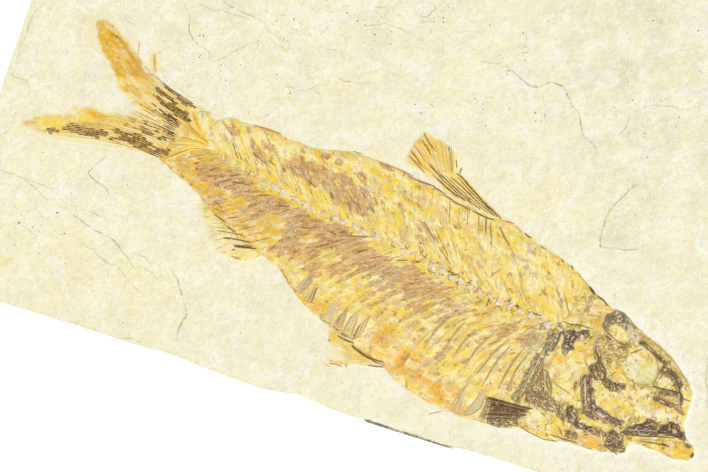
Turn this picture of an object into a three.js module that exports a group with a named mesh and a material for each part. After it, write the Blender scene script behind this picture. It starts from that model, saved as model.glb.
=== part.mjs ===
// Fossil fish slab: a small herring-like fish, pressed flat, on a tile of laminated limestone.
// Millimetres, +Z up. The slab lies on its flat back, and the origin is the middle of its footprint.
//
// The fish is laid out in its own frame: s runs along the backbone from the tail base to the head,
// t is above the backbone (towards the back) or below it (towards the belly), and z is the height
// above the bedding plane that the fish lies on.
import * as THREE from "three";

// ---------------------------------------------------------------- driving dimensions

const SLAB_LENGTH = 128;
const SLAB_WIDTH = 86;
const SLAB_THICKNESS = 9;
const LEFT_EDGE_LEAN = 3; // how far the left edge leans in from front to back

const TAIL_BASE = { x: 32.8, y: 32.1 }; // from the slab's front left corner
const FISH_TILT = THREE.MathUtils.degToRad(-10); // the head is nearer the front edge than the tail

const BONE_GAP = 0.3; // clear space between neighbouring fish pieces
const EDGE_RELIEF = 0.2; // height of every fish piece at its rim
const FLANK_RELIEF = 0.55;
const RIB_RELIEF = 0.15; // ribs and spines stand this far above the flank
const FIN_RELIEF = 0.3;
const SKULL_RELIEF = 0.7;

const BODY_START = -2.4; // s where the flanks begin, behind the last vertebra
const BODY_END = 59.2; // s where the flanks meet the head
const BELLY_END = 54.9; // s where the lower flank meets the pectoral fin
const BACKBONE_START = 0.6;
const BACKBONE_END = 59.2;
const VERTEBRA_COUNT = 36;
const SCUTE_START = 17.5;
const SCUTE_END = 60.6;
const SCUTE_COUNT = 24;
const SCUTE_WIDTH = 1.2;

// Outlines of the body as [s, t] stations.
const BACK_OUTLINE = [
  [-3, 4.2],
  [2, 5.1],
  [9, 6.6],
  [14, 7.0],
  [18, 8.3],
  [23, 9.7],
  [28, 10.3],
  [35, 9.8],
  [40, 9.6],
  [45, 10.4],
  [50, 10.0],
  [56, 9.3],
  [60, 8.1],
];
const BELLY_OUTLINE = [
  [-3, -5.4],
  [3, -7.2],
  [8, -9.4],
  [16, -10.9],
  [21, -13.2],
  [26, -15.0],
  [33, -16.2],
  [39, -17.4],
  [45, -19.0],
  [50, -19.2],
  [56, -18.0],
  [62, -16.2],
];
const BACKBONE_LINE = [
  [0, 0.1],
  [6, -0.3],
  [16, -1.2],
  [30, -0.2],
  [46, -0.6],
  [60, -0.4],
];

// ---------------------------------------------------------------- curves

// A smooth function s -> t through [s, t] stations.
function profile(stations) {
  const curve = new THREE.CubicInterpolant(
    stations.map(([s]) => s),
    stations.map(([, t]) => t),
    1,
    new Float64Array(1),
  );
  return (s) => curve.evaluate(s)[0];
}

const backAt = profile(BACK_OUTLINE);
const bellyAt = profile(BELLY_OUTLINE);
const backboneAt = profile(BACKBONE_LINE);

// Half of the height of a vertebra, which grows from the tail to the head.
const vertebraRadius = (s) => THREE.MathUtils.mapLinear(s, 0, BODY_END, 0.45, 0.85);

// An edge u -> [s, t] that follows a function of s between two stations.
const follow = (tAt, start, end) => (u) => {
  const s = THREE.MathUtils.lerp(start, end, u);
  return [s, tAt(s)];
};

// An edge u -> [s, t] through a few points.
function through(points) {
  const curve = new THREE.SplineCurve(points.map(([s, t]) => new THREE.Vector2(s, t)));
  return (u) => curve.getPointAt(u).toArray();
}

const wave = (turns) => Math.sin(2 * Math.PI * turns);
const dome = (v) => 1 - (2 * v - 1) ** 4; // 0 at both rims, flat in the middle

// ---------------------------------------------------------------- closed solids

function solidFrom(points, triangles) {
  const geometry = new THREE.BufferGeometry().setFromPoints(points);
  geometry.setIndex(triangles.flat());
  geometry.computeVertexNormals();
  return geometry;
}

// Triangles of a flat cap over a loop of points; the loop runs counterclockwise from above.
function cap(loop, firstIndex, facingUp) {
  const flat = loop.map((p) => new THREE.Vector2(p.x, p.y));
  return THREE.ShapeUtils.triangulateShape(flat, []).map(([a, b, c]) =>
    facingUp
      ? [firstIndex + a, firstIndex + b, firstIndex + c]
      : [firstIndex + a, firstIndex + c, firstIndex + b],
  );
}

// Walls between rings of equal length, from the lowest to the highest, with flat caps on both ends.
function stackOfRings(rings) {
  const n = rings[0].length;
  const last = (rings.length - 1) * n;
  const triangles = [...cap(rings[0], 0, false), ...cap(rings.at(-1), last, true)];
  for (let ring = 0; ring < rings.length - 1; ring++) {
    for (let i = 0; i < n; i++) {
      const a = ring * n + i;
      const b = ring * n + ((i + 1) % n);
      triangles.push([a, b, b + n], [a, b + n, a + n]);
    }
  }
  return solidFrom(rings.flat(), triangles);
}

// A piece that lies flat on z = 0: a grid spanned between two edges u -> [s, t], with a height at
// every grid point. v is 0 on the first edge and 1 on the second.
function reliefPlate({ first, second, columns, rows, height }) {
  const points = [];
  for (let i = 0; i <= columns; i++) {
    const u = i / columns;
    const from = first(u);
    const to = second(u);
    for (let j = 0; j <= rows; j++) {
      const v = j / rows;
      const s = THREE.MathUtils.lerp(from[0], to[0], v);
      const t = THREE.MathUtils.lerp(from[1], to[1], v);
      points.push(new THREE.Vector3(s, t, height(u, v, s)));
    }
  }
  const top = (i, j) => i * (rows + 1) + j;
  const footCount = 2 * (columns + 1);
  const firstFoot = (i) => points.length - footCount + 2 * i;
  const secondFoot = (i) => firstFoot(i) + 1;
  for (let i = 0; i <= columns; i++) {
    const ends = [points[top(i, 0)], points[top(i, rows)]];
    points.push(...ends.map((p) => new THREE.Vector3(p.x, p.y, 0)));
  }

  const triangles = [];
  const quad = (p, q, r, s) => triangles.push([p, q, r], [p, r, s]);
  for (let i = 0; i < columns; i++) {
    for (let j = 0; j < rows; j++) quad(top(i, j), top(i + 1, j), top(i + 1, j + 1), top(i, j + 1));
    quad(firstFoot(i), secondFoot(i), secondFoot(i + 1), firstFoot(i + 1));
    quad(firstFoot(i), firstFoot(i + 1), top(i + 1, 0), top(i, 0));
    quad(secondFoot(i + 1), secondFoot(i), top(i, rows), top(i + 1, rows));
  }
  triangles.push([secondFoot(0), firstFoot(0), top(0, 0)]);
  triangles.push([firstFoot(columns), secondFoot(columns), top(columns, rows)]);
  for (let j = 0; j < rows; j++) {
    triangles.push([secondFoot(0), top(0, j), top(0, j + 1)]);
    triangles.push([firstFoot(columns), top(columns, j + 1), top(columns, j)]);
  }

  const outline = [];
  for (let i = 0; i <= columns; i++) outline.push(points[firstFoot(i)]);
  for (let i = columns; i >= 0; i--) outline.push(points[secondFoot(i)]);
  const clockwise = THREE.ShapeUtils.area(outline) < 0;
  if (clockwise) triangles.forEach((triangle) => triangle.reverse());
  return solidFrom(points, triangles);
}

// ---------------------------------------------------------------- the slab

// The limestone splits into thin layers, and each layer is broken or sawn back a little differently:
// [height above the back, how far its edge is worn in].
const LAYERS = [
  [0, 0.9],
  [0.8, 0.3],
  [2.8, 0.1],
  [4.4, 0.4],
  [6.2, 0.1],
  [8.0, 0.3],
  [SLAB_THICKNESS, 0.45],
];

// The front edge is snapped, not sawn: [distance from the left corner, how far it is worn in].
const frontWear = profile([
  [0, 0.5],
  [18, 0.45],
  [32, 0.7],
  [38, 0.4],
  [44, 0],
  [51, -0.1],
  [57, 0.4],
  [62, 0.1],
  [67, 0.1],
  [90, 0],
  [128, 0.4],
]);

// Under the front edge's right half the lower layers stick out past the top one.
const LEDGE_START = 67.5;
const LEDGE_DEPTH = 0.5;

const SIDES = [
  { name: "front", points: 32, length: SLAB_LENGTH, roughness: 0.1, cornerRadius: 1.5 },
  { name: "right", points: 20, length: SLAB_WIDTH, roughness: 0.1, cornerRadius: 2.5 },
  { name: "back", points: 32, length: SLAB_LENGTH, roughness: 0.35, cornerRadius: 3.5 },
  { name: "left", points: 20, length: SLAB_WIDTH, roughness: 0.08, cornerRadius: 2 },
];

// How far a side is worn in at a distance along it, counted counterclockwise round the slab.
function wearAt(side, distance, height, layerWear) {
  const fromEnd = Math.min(distance, side.length - distance);
  const inCorner = Math.max(0, side.cornerRadius - fromEnd);
  const corner = side.cornerRadius - Math.sqrt(side.cornerRadius ** 2 - inCorner ** 2);
  const rough =
    side.roughness * (wave(distance / 17 + height / 5) + 0.6 * wave(distance / 6.3 + height / 2));
  const isTop = height === SLAB_THICKNESS;
  const snapped = side.name === "front" ? frontWear(distance) : 0;
  const ledge = side.name === "front" && distance > LEDGE_START && !isTop ? -LEDGE_DEPTH : 0;
  return corner + rough + snapped + ledge + layerWear;
}

function slabRing([height, layerWear]) {
  const ring = [];
  SIDES.forEach((side, k) => {
    const skip = side.cornerRadius * (1 - Math.SQRT1_2); // where a corner's arc crosses its diagonal
    for (let i = 0; i < side.points; i++) {
      const along = skip + ((side.length - 2 * skip) * i) / side.points;
      const inset = wearAt(side, along, height, layerWear);
      const [x, y] = [
        [along, inset],
        [SLAB_LENGTH - inset, along],
        [SLAB_LENGTH - along, SLAB_WIDTH - inset],
        [inset, SLAB_WIDTH - along],
      ][k];
      const lean = LEFT_EDGE_LEAN * (y / SLAB_WIDTH) * (1 - x / SLAB_LENGTH);
      ring.push(new THREE.Vector3(x + lean, y, height));
    }
  });
  return ring;
}

const slabSolid = () => stackOfRings(LAYERS.map(slabRing));

// ---------------------------------------------------------------- the body

const flankHeight = (v, ridge) => EDGE_RELIEF + dome(v) * (FLANK_RELIEF - EDGE_RELIEF + ridge);

function upperFlank() {
  const spines = VERTEBRA_COUNT / (BACKBONE_END - BACKBONE_START);
  return reliefPlate({
    first: follow(
      (s) => backboneAt(s) + vertebraRadius(s) + BONE_GAP,
      BODY_START,
      BODY_END,
    ),
    second: follow(backAt, BODY_START, BODY_END),
    columns: 72,
    rows: 4,
    height: (u, v, s) => flankHeight(v, RIB_RELIEF * wave((s + 3 * v) * spines * 0.5)),
  });
}

// The rib cage, and behind it the flank over the tail muscles.
function lowerFlank() {
  const ribs = (VERTEBRA_COUNT / (BACKBONE_END - BACKBONE_START)) * 0.5;
  return reliefPlate({
    first: follow(
      (s) => bellyAt(s) + (s > SCUTE_START - BONE_GAP ? SCUTE_WIDTH + BONE_GAP : 0),
      BODY_START,
      BELLY_END,
    ),
    second: follow(
      (s) => backboneAt(s) - vertebraRadius(s) - BONE_GAP,
      BODY_START,
      BODY_END,
    ),
    columns: 72,
    rows: 5,
    height: (u, v, s) => flankHeight(v, RIB_RELIEF * wave((s + 5 * v * v) * ribs)),
  });
}

// Each vertebra is an hourglass: high and wide at its ends, waisted in the middle.
function backbone() {
  const waist = (u) => Math.abs(Math.cos(Math.PI * VERTEBRA_COUNT * u));
  const edge = (side) => (u) => {
    const s = THREE.MathUtils.lerp(BACKBONE_START, BACKBONE_END, u);
    return [s, backboneAt(s) + side * vertebraRadius(s) * (0.7 + 0.3 * waist(u))];
  };
  return reliefPlate({
    first: edge(-1),
    second: edge(1),
    columns: VERTEBRA_COUNT * 4,
    rows: 2,
    height: (u, v) => EDGE_RELIEF + dome(v) * (FLANK_RELIEF - 0.1 + 0.25 * waist(u)),
  });
}

// The keel of small overlapping scutes along the belly.
function bellyScutes() {
  const step = (u) => (u * SCUTE_COUNT) % 1;
  return reliefPlate({
    first: follow(bellyAt, SCUTE_START, SCUTE_END),
    second: follow((s) => bellyAt(s) + SCUTE_WIDTH, SCUTE_START, SCUTE_END),
    columns: SCUTE_COUNT * 3,
    rows: 1,
    height: (u, v) => EDGE_RELIEF + 0.1 + 0.2 * step(u) + 0.1 * v,
  });
}

// ---------------------------------------------------------------- the head

// A bone plate between two edges, domed along and across.
function bonePlate({ first, second, relief, columns = 14, rows = 4 }) {
  return reliefPlate({
    first,
    second,
    columns,
    rows,
    height: (u, v) => EDGE_RELIEF + dome(u) * dome(v) * (relief - EDGE_RELIEF),
  });
}

// The braincase, the forehead and the bones round the eye.
const skull = () =>
  reliefPlate({
    first: through([
      [59.8, 0.9],
      [64.6, 0.4],
      [68.6, -2.6],
      [73.6, -5.2],
      [79.0, -5.2],
      [82.7, -4.2],
    ]),
    second: through([
      [59.8, 8.0],
      [66.4, 6.5],
      [72.2, 4.7],
      [77.6, 3.3],
      [81.2, 1.4],
      [82.9, -1.0],
    ]),
    columns: 24,
    rows: 8,
    height: (u, v) => {
      const fromOrbit = Math.hypot((u - 0.6) / 0.13, (v - 0.52) / 0.2);
      const orbit = 0.4 * Math.exp(-(fromOrbit ** 2));
      return EDGE_RELIEF + dome(u) * dome(v) * (SKULL_RELIEF - EDGE_RELIEF - orbit);
    },
  });

const gillCover = () =>
  bonePlate({
    first: through([
      [61.6, -12.6],
      [66.0, -13.4],
      [70.5, -13.4],
      [74.4, -12.6],
    ]),
    second: through([
      [60.5, 0.3],
      [64.3, -0.1],
      [68.2, -3.2],
      [73.2, -5.7],
    ]),
    relief: SKULL_RELIEF,
    rows: 6,
  });

// The bones behind the gill opening; they widen downwards to the root of the pectoral fin.
const shoulderGirdle = () =>
  bonePlate({
    first: through([
      [59.5, 0.2],
      [58.8, -4.5],
      [57.5, -9.0],
      [56.5, -12.7],
    ]),
    second: through([
      [60.2, 0.2],
      [60.6, -4.5],
      [61.0, -9.0],
      [61.2, -12.7],
    ]),
    relief: 0.6,
    columns: 8,
    rows: 3,
  });

const upperJaw = () =>
  bonePlate({
    first: through([
      [74.9, -9.5],
      [78.4, -8.8],
      [81.8, -7.5],
      [84.3, -6.4],
    ]),
    second: through([
      [74.1, -5.9],
      [78.0, -5.6],
      [81.2, -5.4],
      [83.2, -4.8],
    ]),
    relief: 0.6,
  });

const lowerJaw = () =>
  bonePlate({
    first: through([
      [75.0, -12.6],
      [78.8, -10.9],
      [83.6, -9.8],
      [86.6, -8.3],
    ]),
    second: through([
      [75.0, -9.9],
      [78.6, -9.2],
      [82.3, -7.9],
      [86.2, -6.7],
    ]),
    relief: 0.6,
  });

// The bones of the throat, between the gill cover and the belly scutes.
const throatBones = () =>
  bonePlate({
    first: through([
      [61.4, -16.2],
      [66.0, -15.9],
      [71.0, -14.6],
      [74.6, -13.4],
    ]),
    second: through([
      [61.5, -13.0],
      [66.0, -13.8],
      [70.6, -13.8],
      [74.4, -13.0],
    ]),
    relief: 0.5,
  });

// ---------------------------------------------------------------- the fins

// A fin is a fan of rays: u runs out along the rays, and v runs across them.
function fin({ first, second, rays, columns = 8 }) {
  return reliefPlate({
    first,
    second,
    columns,
    rows: rays * 2,
    height: (u, v) => {
      const ray = 0.5 - 0.5 * Math.cos(2 * Math.PI * rays * v);
      return EDGE_RELIEF + (1 - 0.6 * u) * ray * (FIN_RELIEF - EDGE_RELIEF);
    },
  });
}

const dorsalFin = () =>
  fin({
    first: through([
      [37.2, 10.3],
      [33.0, 11.0],
      [28.4, 11.7],
      [27.4, 14.0],
      [28.0, 16.4],
    ]),
    second: through([
      [44.4, 10.9],
      [40.0, 12.1],
      [36.0, 14.2],
      [33.6, 16.2],
      [29.6, 17.2],
    ]),
    rays: 7,
    columns: 10,
  });

const analFin = () =>
  fin({
    first: follow((s) => bellyAt(s) - BONE_GAP, 3.0, 15.4),
    second: through([
      [3.2, -8.6],
      [5.4, -11.4],
      [8.7, -13.7],
      [11.2, -13.5],
      [15.4, -11.9],
    ]),
    rays: 3,
    columns: 14,
  });

const pelvicFin = () =>
  fin({
    first: through([
      [38.2, -17.7],
      [33.6, -16.9],
      [28.6, -16.4],
    ]),
    second: through([
      [38.7, -18.4],
      [34.8, -20.2],
      [31.0, -20.8],
    ]),
    rays: 4,
  });

const pectoralFin = () =>
  fin({
    first: through([
      [61.0, -13.0],
      [58.5, -13.1],
      [56.2, -13.1],
    ]),
    second: through([
      [61.0, -15.1],
      [58.5, -15.9],
      [55.4, -16.4],
    ]),
    rays: 4,
  });

const tailUpperLobe = () =>
  fin({
    first: through([
      [-2.9, 0.3],
      [-9.0, 0.8],
      [-14.0, 2.2],
      [-20.0, 5.4],
      [-23.2, 8.6],
    ]),
    second: through([
      [-2.9, 4.0],
      [-10.0, 5.4],
      [-15.3, 7.5],
      [-19.2, 9.9],
      [-22.2, 11.0],
    ]),
    rays: 7,
    columns: 11,
  });

const tailLowerLobe = () =>
  fin({
    first: through([
      [-2.9, -0.2],
      [-9.0, -0.1],
      [-13.5, -1.3],
      [-18.0, -2.9],
      [-23.0, -5.6],
      [-25.6, -7.6],
    ]),
    second: through([
      [-2.9, -5.2],
      [-9.0, -5.7],
      [-14.0, -7.1],
      [-20.0, -9.1],
      [-25.6, -10.2],
    ]),
    rays: 7,
    columns: 11,
  });

// ---------------------------------------------------------------- assembly

const stone = new THREE.MeshStandardMaterial({
  color: 0xf0ead0,
  roughness: 0.9,
  metalness: 0,
});
const flankFilm = new THREE.MeshStandardMaterial({
  color: 0xe9c560,
  roughness: 0.75,
  metalness: 0,
});
const bone = new THREE.MeshStandardMaterial({
  color: 0xb08a58,
  roughness: 0.6,
  metalness: 0,
});
const finFilm = new THREE.MeshStandardMaterial({
  color: 0xdfb55a,
  roughness: 0.75,
  metalness: 0,
});

function piece(name, geometry, material) {
  const mesh = new THREE.Mesh(geometry, material);
  mesh.name = name;
  return mesh;
}

const slab = piece("slab", slabSolid(), stone);

const fish = new THREE.Group();
fish.position.set(TAIL_BASE.x, TAIL_BASE.y, SLAB_THICKNESS);
fish.rotation.z = FISH_TILT;
fish.add(
  piece("upper_flank", upperFlank(), flankFilm),
  piece("lower_flank", lowerFlank(), flankFilm),
  piece("backbone", backbone(), bone),
  piece("belly_scutes", bellyScutes(), bone),
  piece("skull", skull(), bone),
  piece("gill_cover", gillCover(), flankFilm),
  piece("upper_jaw", upperJaw(), bone),
  piece("lower_jaw", lowerJaw(), bone),
  piece("throat_bones", throatBones(), bone),
  piece("shoulder_girdle", shoulderGirdle(), bone),
  piece("dorsal_fin", dorsalFin(), finFilm),
  piece("anal_fin", analFin(), finFilm),
  piece("pelvic_fin", pelvicFin(), finFilm),
  piece("pectoral_fin", pectoralFin(), finFilm),
  piece("tail_fin_upper_lobe", tailUpperLobe(), finFilm),
  piece("tail_fin_lower_lobe", tailLowerLobe(), finFilm),
);

// The slab is laid out from its front left corner, then centred on its footprint.
const centred = new THREE.Group();
const footprint = new THREE.Box3().setFromObject(slab);
const middle = footprint.getCenter(new THREE.Vector3());
centred.position.set(-middle.x, -middle.y, 0);
centred.add(slab, fish);

const part = new THREE.Group();
part.add(centred);

export default part;
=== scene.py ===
"""Fossil fish slab: a small herring-like fish pressed flat on a tile of pale laminated limestone.

Work is done in millimetres in the slab's own frame and turned into metres when a mesh is made.
The fish has a frame of its own: s runs along the backbone from the tail base to the head, and t is
above the backbone (the back) or below it (the belly).
"""
import math

import bpy
import numpy as np
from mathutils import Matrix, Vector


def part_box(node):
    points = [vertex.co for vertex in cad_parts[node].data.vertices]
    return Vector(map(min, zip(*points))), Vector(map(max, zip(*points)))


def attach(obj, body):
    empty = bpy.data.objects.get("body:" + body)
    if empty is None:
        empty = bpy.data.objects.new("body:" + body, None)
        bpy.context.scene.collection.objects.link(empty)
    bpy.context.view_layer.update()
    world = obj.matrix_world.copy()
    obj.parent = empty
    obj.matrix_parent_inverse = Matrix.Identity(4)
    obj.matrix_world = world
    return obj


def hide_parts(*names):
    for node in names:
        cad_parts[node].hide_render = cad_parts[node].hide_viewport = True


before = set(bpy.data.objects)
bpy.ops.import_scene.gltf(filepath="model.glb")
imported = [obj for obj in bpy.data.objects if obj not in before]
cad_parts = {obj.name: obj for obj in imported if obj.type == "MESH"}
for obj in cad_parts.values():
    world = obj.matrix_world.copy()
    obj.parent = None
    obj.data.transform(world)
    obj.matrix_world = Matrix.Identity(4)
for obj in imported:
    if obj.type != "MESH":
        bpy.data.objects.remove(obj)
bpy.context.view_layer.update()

MM = 0.001
rng = np.random.default_rng(7)


# ------------------------------------------------------------------ frames

def box_mm(node):
    low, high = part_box(node)
    return np.array(low) / MM, np.array(high) / MM


FISH_TILT = math.radians(-10)
COS, SIN = math.cos(FISH_TILT), math.sin(FISH_TILT)
BACKBONE_LOW, BACKBONE_HIGH = box_mm("backbone")
# The tail base is near the upper left corner of the backbone's box, and the slab's front left corner is
# measured from it.
TAIL_BASE = np.array([BACKBONE_LOW[0] - 0.52, BACKBONE_HIGH[1] - 0.40])
SLAB_CORNER = TAIL_BASE - np.array([32.8, 32.1])
SLAB_LENGTH, SLAB_WIDTH = 128.0, 86.0
SLAB_TOP = box_mm("slab")[1][2]
BEDDING_PLANE = SLAB_TOP - 0.07


def fish_to_part(s, t):
    return TAIL_BASE[0] + s * COS - t * SIN, TAIL_BASE[1] + s * SIN + t * COS


def slab_to_fish(x, y):
    dx, dy = x + SLAB_CORNER[0] - TAIL_BASE[0], y + SLAB_CORNER[1] - TAIL_BASE[1]
    return dx * COS + dy * SIN, -dx * SIN + dy * COS


def part_to_slab(x, y):
    return x - SLAB_CORNER[0], y - SLAB_CORNER[1]


# ------------------------------------------------------------------ noise and shapes

def lattice(ix, iy, seed):
    n = (ix.astype(np.int64) * 374761393 + iy.astype(np.int64) * 668265263 + seed * 974634777)
    n = (n ^ (n >> 13)) * 1274126177
    return ((n ^ (n >> 16)) & 0xFFFF) / 65535.0


def noise(x, y, seed):
    """Smooth noise from 0 to 1 with cells one unit wide."""
    ix, iy = np.floor(x), np.floor(y)
    fx, fy = x - ix, y - iy
    fx, fy = fx * fx * (3 - 2 * fx), fy * fy * (3 - 2 * fy)
    low = lattice(ix, iy, seed) * (1 - fx) + lattice(ix + 1, iy, seed) * fx
    high = lattice(ix, iy + 1, seed) * (1 - fx) + lattice(ix + 1, iy + 1, seed) * fx
    return low * (1 - fy) + high * fy


def fractal(x, y, seed, octaves=3):
    total, weight = 0.0, 0.0
    for k in range(octaves):
        gain = 0.55 ** k
        total = total + gain * noise(x * 2.03 ** k + 17.1 * k, y * 2.03 ** k - 9.7 * k, seed + 31 * k)
        weight += gain
    return total / weight


def smooth(low, high, value):
    x = np.clip((value - low) / (high - low), 0, 1)
    return x * x * (3 - 2 * x)


def profile(stations, samples=400, width=12):
    """A function of s through (s, t) stations, with corners rounded over a width counted in samples."""
    s, t = np.array(stations, float).T
    fine = np.linspace(s[0], s[-1], samples)
    kernel = np.hanning(width + 2)[1:-1]
    padded = np.pad(np.interp(fine, s, t), width, mode="edge")
    value = np.convolve(padded, kernel / kernel.sum(), "same")[width:-width]
    return lambda at: np.interp(at, fine, value)


def distance_to_path(s, t, path, closed=False):
    path = np.array(path, float)
    ends = np.roll(path, -1, axis=0) if closed else path[1:]
    best = np.full(np.shape(s), 1e9)
    for (s0, t0), (s1, t1) in zip(path, ends):
        ds, dt = s1 - s0, t1 - t0
        k = np.clip(((s - s0) * ds + (t - t0) * dt) / (ds * ds + dt * dt + 1e-12), 0, 1)
        best = np.minimum(best, np.hypot(s - s0 - k * ds, t - t0 - k * dt))
    return best


def inside(s, t, polygon):
    result = np.zeros(np.shape(s), bool)
    polygon = np.array(polygon, float)
    for (s0, t0), (s1, t1) in zip(polygon, np.roll(polygon, -1, axis=0)):
        crosses = (t0 > t) != (t1 > t)
        slope = (s1 - s0) / (t1 - t0) if t1 != t0 else 0.0
        result ^= crosses & (s < s0 + (t - t0) * slope)
    return result


def depth_in(s, t, polygon):
    """Distance from the polygon's edge: positive inside it and negative outside."""
    return np.where(inside(s, t, polygon), 1, -1) * distance_to_path(s, t, polygon, closed=True)


# ------------------------------------------------------------------ paths and grids

def path_lengths(path):
    """Distance along a path at each of its corners."""
    return np.concatenate([[0], np.cumsum(np.hypot(*np.diff(path, axis=0).T))])


def eased(values, rounds):
    """Values along a path with their kinks smoothed out; the two ends stay."""
    for _ in range(rounds):
        values[1:-1] = (values[:-2] + 2 * values[1:-1] + values[2:]) / 4
    return values


def quads_of(index):
    """The four corners of each cell of a grid of point numbers."""
    return np.stack([index[:-1, :-1], index[1:, :-1], index[1:, 1:], index[:-1, 1:]], -1)


def flow_field(across, along):
    """Coordinates for the films' fibres, which run along the second one."""
    return np.stack([across, along, np.zeros(across.shape)], -1)


# ------------------------------------------------------------------ colours

def tint(red, green, blue):
    """A colour as it should look in the picture, turned into the surface's own linear colour."""
    c = np.array([red, green, blue]) / 255.0
    return np.where(c <= 0.04045, c / 12.92, ((c + 0.055) / 1.055) ** 2.4)


STONE = tint(241, 235, 202)
STONE_PALE = tint(248, 244, 220)
STONE_GREY = tint(226, 220, 189)
STONE_COOL = tint(242, 240, 226)
STONE_YELLOW = tint(243, 235, 188)
YELLOW = tint(249, 227, 142)
GOLD = tint(245, 213, 96)
DEEP_GOLD = tint(226, 178, 46)
ORANGE = tint(243, 188, 76)
AMBER = tint(228, 174, 0)
CREAM = tint(246, 238, 196)
OLIVE = tint(228, 208, 100)
MAUVE = tint(207, 168, 104)
MAUVE_DARK = tint(178, 138, 80)
MAUVE_PALE = tint(218, 188, 134)
BROWN = tint(150, 112, 62)
DARK = tint(112, 84, 54)
DARK_GREY = tint(120, 102, 82)
GREY = tint(176, 158, 122)
GREY_PALE = tint(214, 200, 172)
BONE_WHITE = tint(232, 224, 206)
VERTEBRA = tint(232, 212, 182)
LILAC = tint(226, 208, 200)
RUST = tint(206, 140, 84)
SCUTE = tint(186, 166, 128)
SCUTE_PALE = tint(212, 192, 146)
SCUTE_DARK = tint(140, 118, 86)
# The stone's smaller marks, and the painted sheen, highlight and shadows laid on it.
SCRAPED_STONE_AND_HIGHLIGHT = tint(249, 247, 232)
SAND = tint(230, 221, 178)
SAND_DEEP = tint(220, 210, 170)
SAND_DULL = tint(226, 216, 174)
CHALK = tint(253, 250, 230)
PAINTED_SHEEN = tint(250, 250, 240)
VEIN = tint(188, 174, 126)
PIT_SHADOW = tint(176, 160, 118)
LAYER_PALE = tint(226, 217, 180)
LAYER_TAN = tint(204, 190, 148)
LAYER_DARK = tint(170, 150, 108)
BREAK_DARK = tint(184, 168, 126)
BREAK_PALE = tint(238, 231, 200)
FRONT_RIM_PAINTED_SHADOW = tint(176, 170, 150)
LEDGE_PAINTED_SHADOW = tint(84, 78, 56)
CRACK = tint(120, 96, 44)
GRAIN_BROWN = tint(168, 146, 92)
GRAIN_DARK = tint(84, 70, 34)
GRAIN_DENT = tint(255, 254, 240)
HALO = tint(230, 220, 164)
# Clouds, stains and fibres in the film, with painted highlights and shadows on its fibres and bones.
FILM_PALE = tint(250, 241, 184)
FILM_PINK = tint(226, 186, 134)
REAR_GOLD = tint(234, 184, 62)
PELVIC_GOLD = tint(237, 204, 88)
STAIN_BROWN = tint(208, 160, 106)
STAIN_PINK = tint(222, 178, 136)
STAIN_DEEP = tint(192, 142, 88)
STAIN_DARK = tint(146, 102, 58)
STAIN_LIGHT = tint(248, 214, 160)
STAIN_AMBER = tint(232, 180, 92)
PALE_HAIR_AND_HIGHLIGHT = tint(255, 246, 206)
DARK_HAIR_AND_SHADOW = tint(140, 98, 48)
WIRE_DARK = tint(72, 48, 30)
WIRE_HIGHLIGHT = tint(240, 220, 198)
WIRE_GOLD = tint(234, 200, 112)
GLINT = tint(255, 246, 200)
# Single bones, fin rays and flakes, and a painted highlight on the cheek.
BONE_WORN = tint(240, 222, 178)
RAY_DARK = tint(96, 70, 42)
HAIR_GOLD = tint(206, 152, 32)
HAIR_BROWN = tint(176, 128, 60)
DULL_GOLD = tint(174, 148, 86)
SKULL_WHITE = tint(220, 210, 194)
TEMPLE = tint(236, 200, 122)
FOREHEAD = tint(236, 204, 104)
SOCKET = tint(233, 227, 186)
RING_DARK = tint(186, 152, 62)
RING_GOLD = tint(206, 172, 80)
RING_PALE = tint(214, 186, 96)
CHEEK_BAR = tint(196, 160, 136)
CHEEK_HIGHLIGHT = tint(206, 196, 190)
CHEEK_GOLD = tint(234, 196, 92)
SNOUT = tint(158, 122, 98)
SNOUT_GREY = tint(142, 132, 98)
JAW = tint(156, 120, 96)
JAW_HOLLOW = tint(206, 168, 120)
JAW_HINGE = tint(176, 144, 104)
THROAT_BROWN = tint(140, 102, 66)
THROAT_RED = tint(158, 112, 88)
THROAT_GOLD = tint(243, 208, 66)
BLOTCH = tint(124, 98, 72)
PECTORAL_TAN = tint(176, 146, 84)
PECTORAL_DARK = tint(142, 112, 58)
FLAKE_BUFF = tint(240, 222, 170)
FLAKE_AMBER = tint(226, 182, 96)
FLAKE_PINK = tint(236, 200, 160)
FLAKE_YELLOW = tint(240, 224, 166)
FLAKE_CREAM = tint(240, 224, 176)
FLAKE_BRIGHT = tint(244, 228, 176)
FLAKE_OLIVE = tint(160, 140, 86)
# What a colour is multiplied by where it deepens, browns, darkens or ages.
DEEPENED = np.array([0.97, 0.89, 0.30])
BROWNED = np.array([0.68, 0.50, 0.36])
DARKENED = np.array([0.68, 0.53, 0.34])
AGED = np.array([0.62, 0.55, 0.48])


def mix(base, colour, weight):
    return base + (colour - base) * np.asarray(weight)[..., None]


# ------------------------------------------------------------------ the fish's outlines

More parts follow.
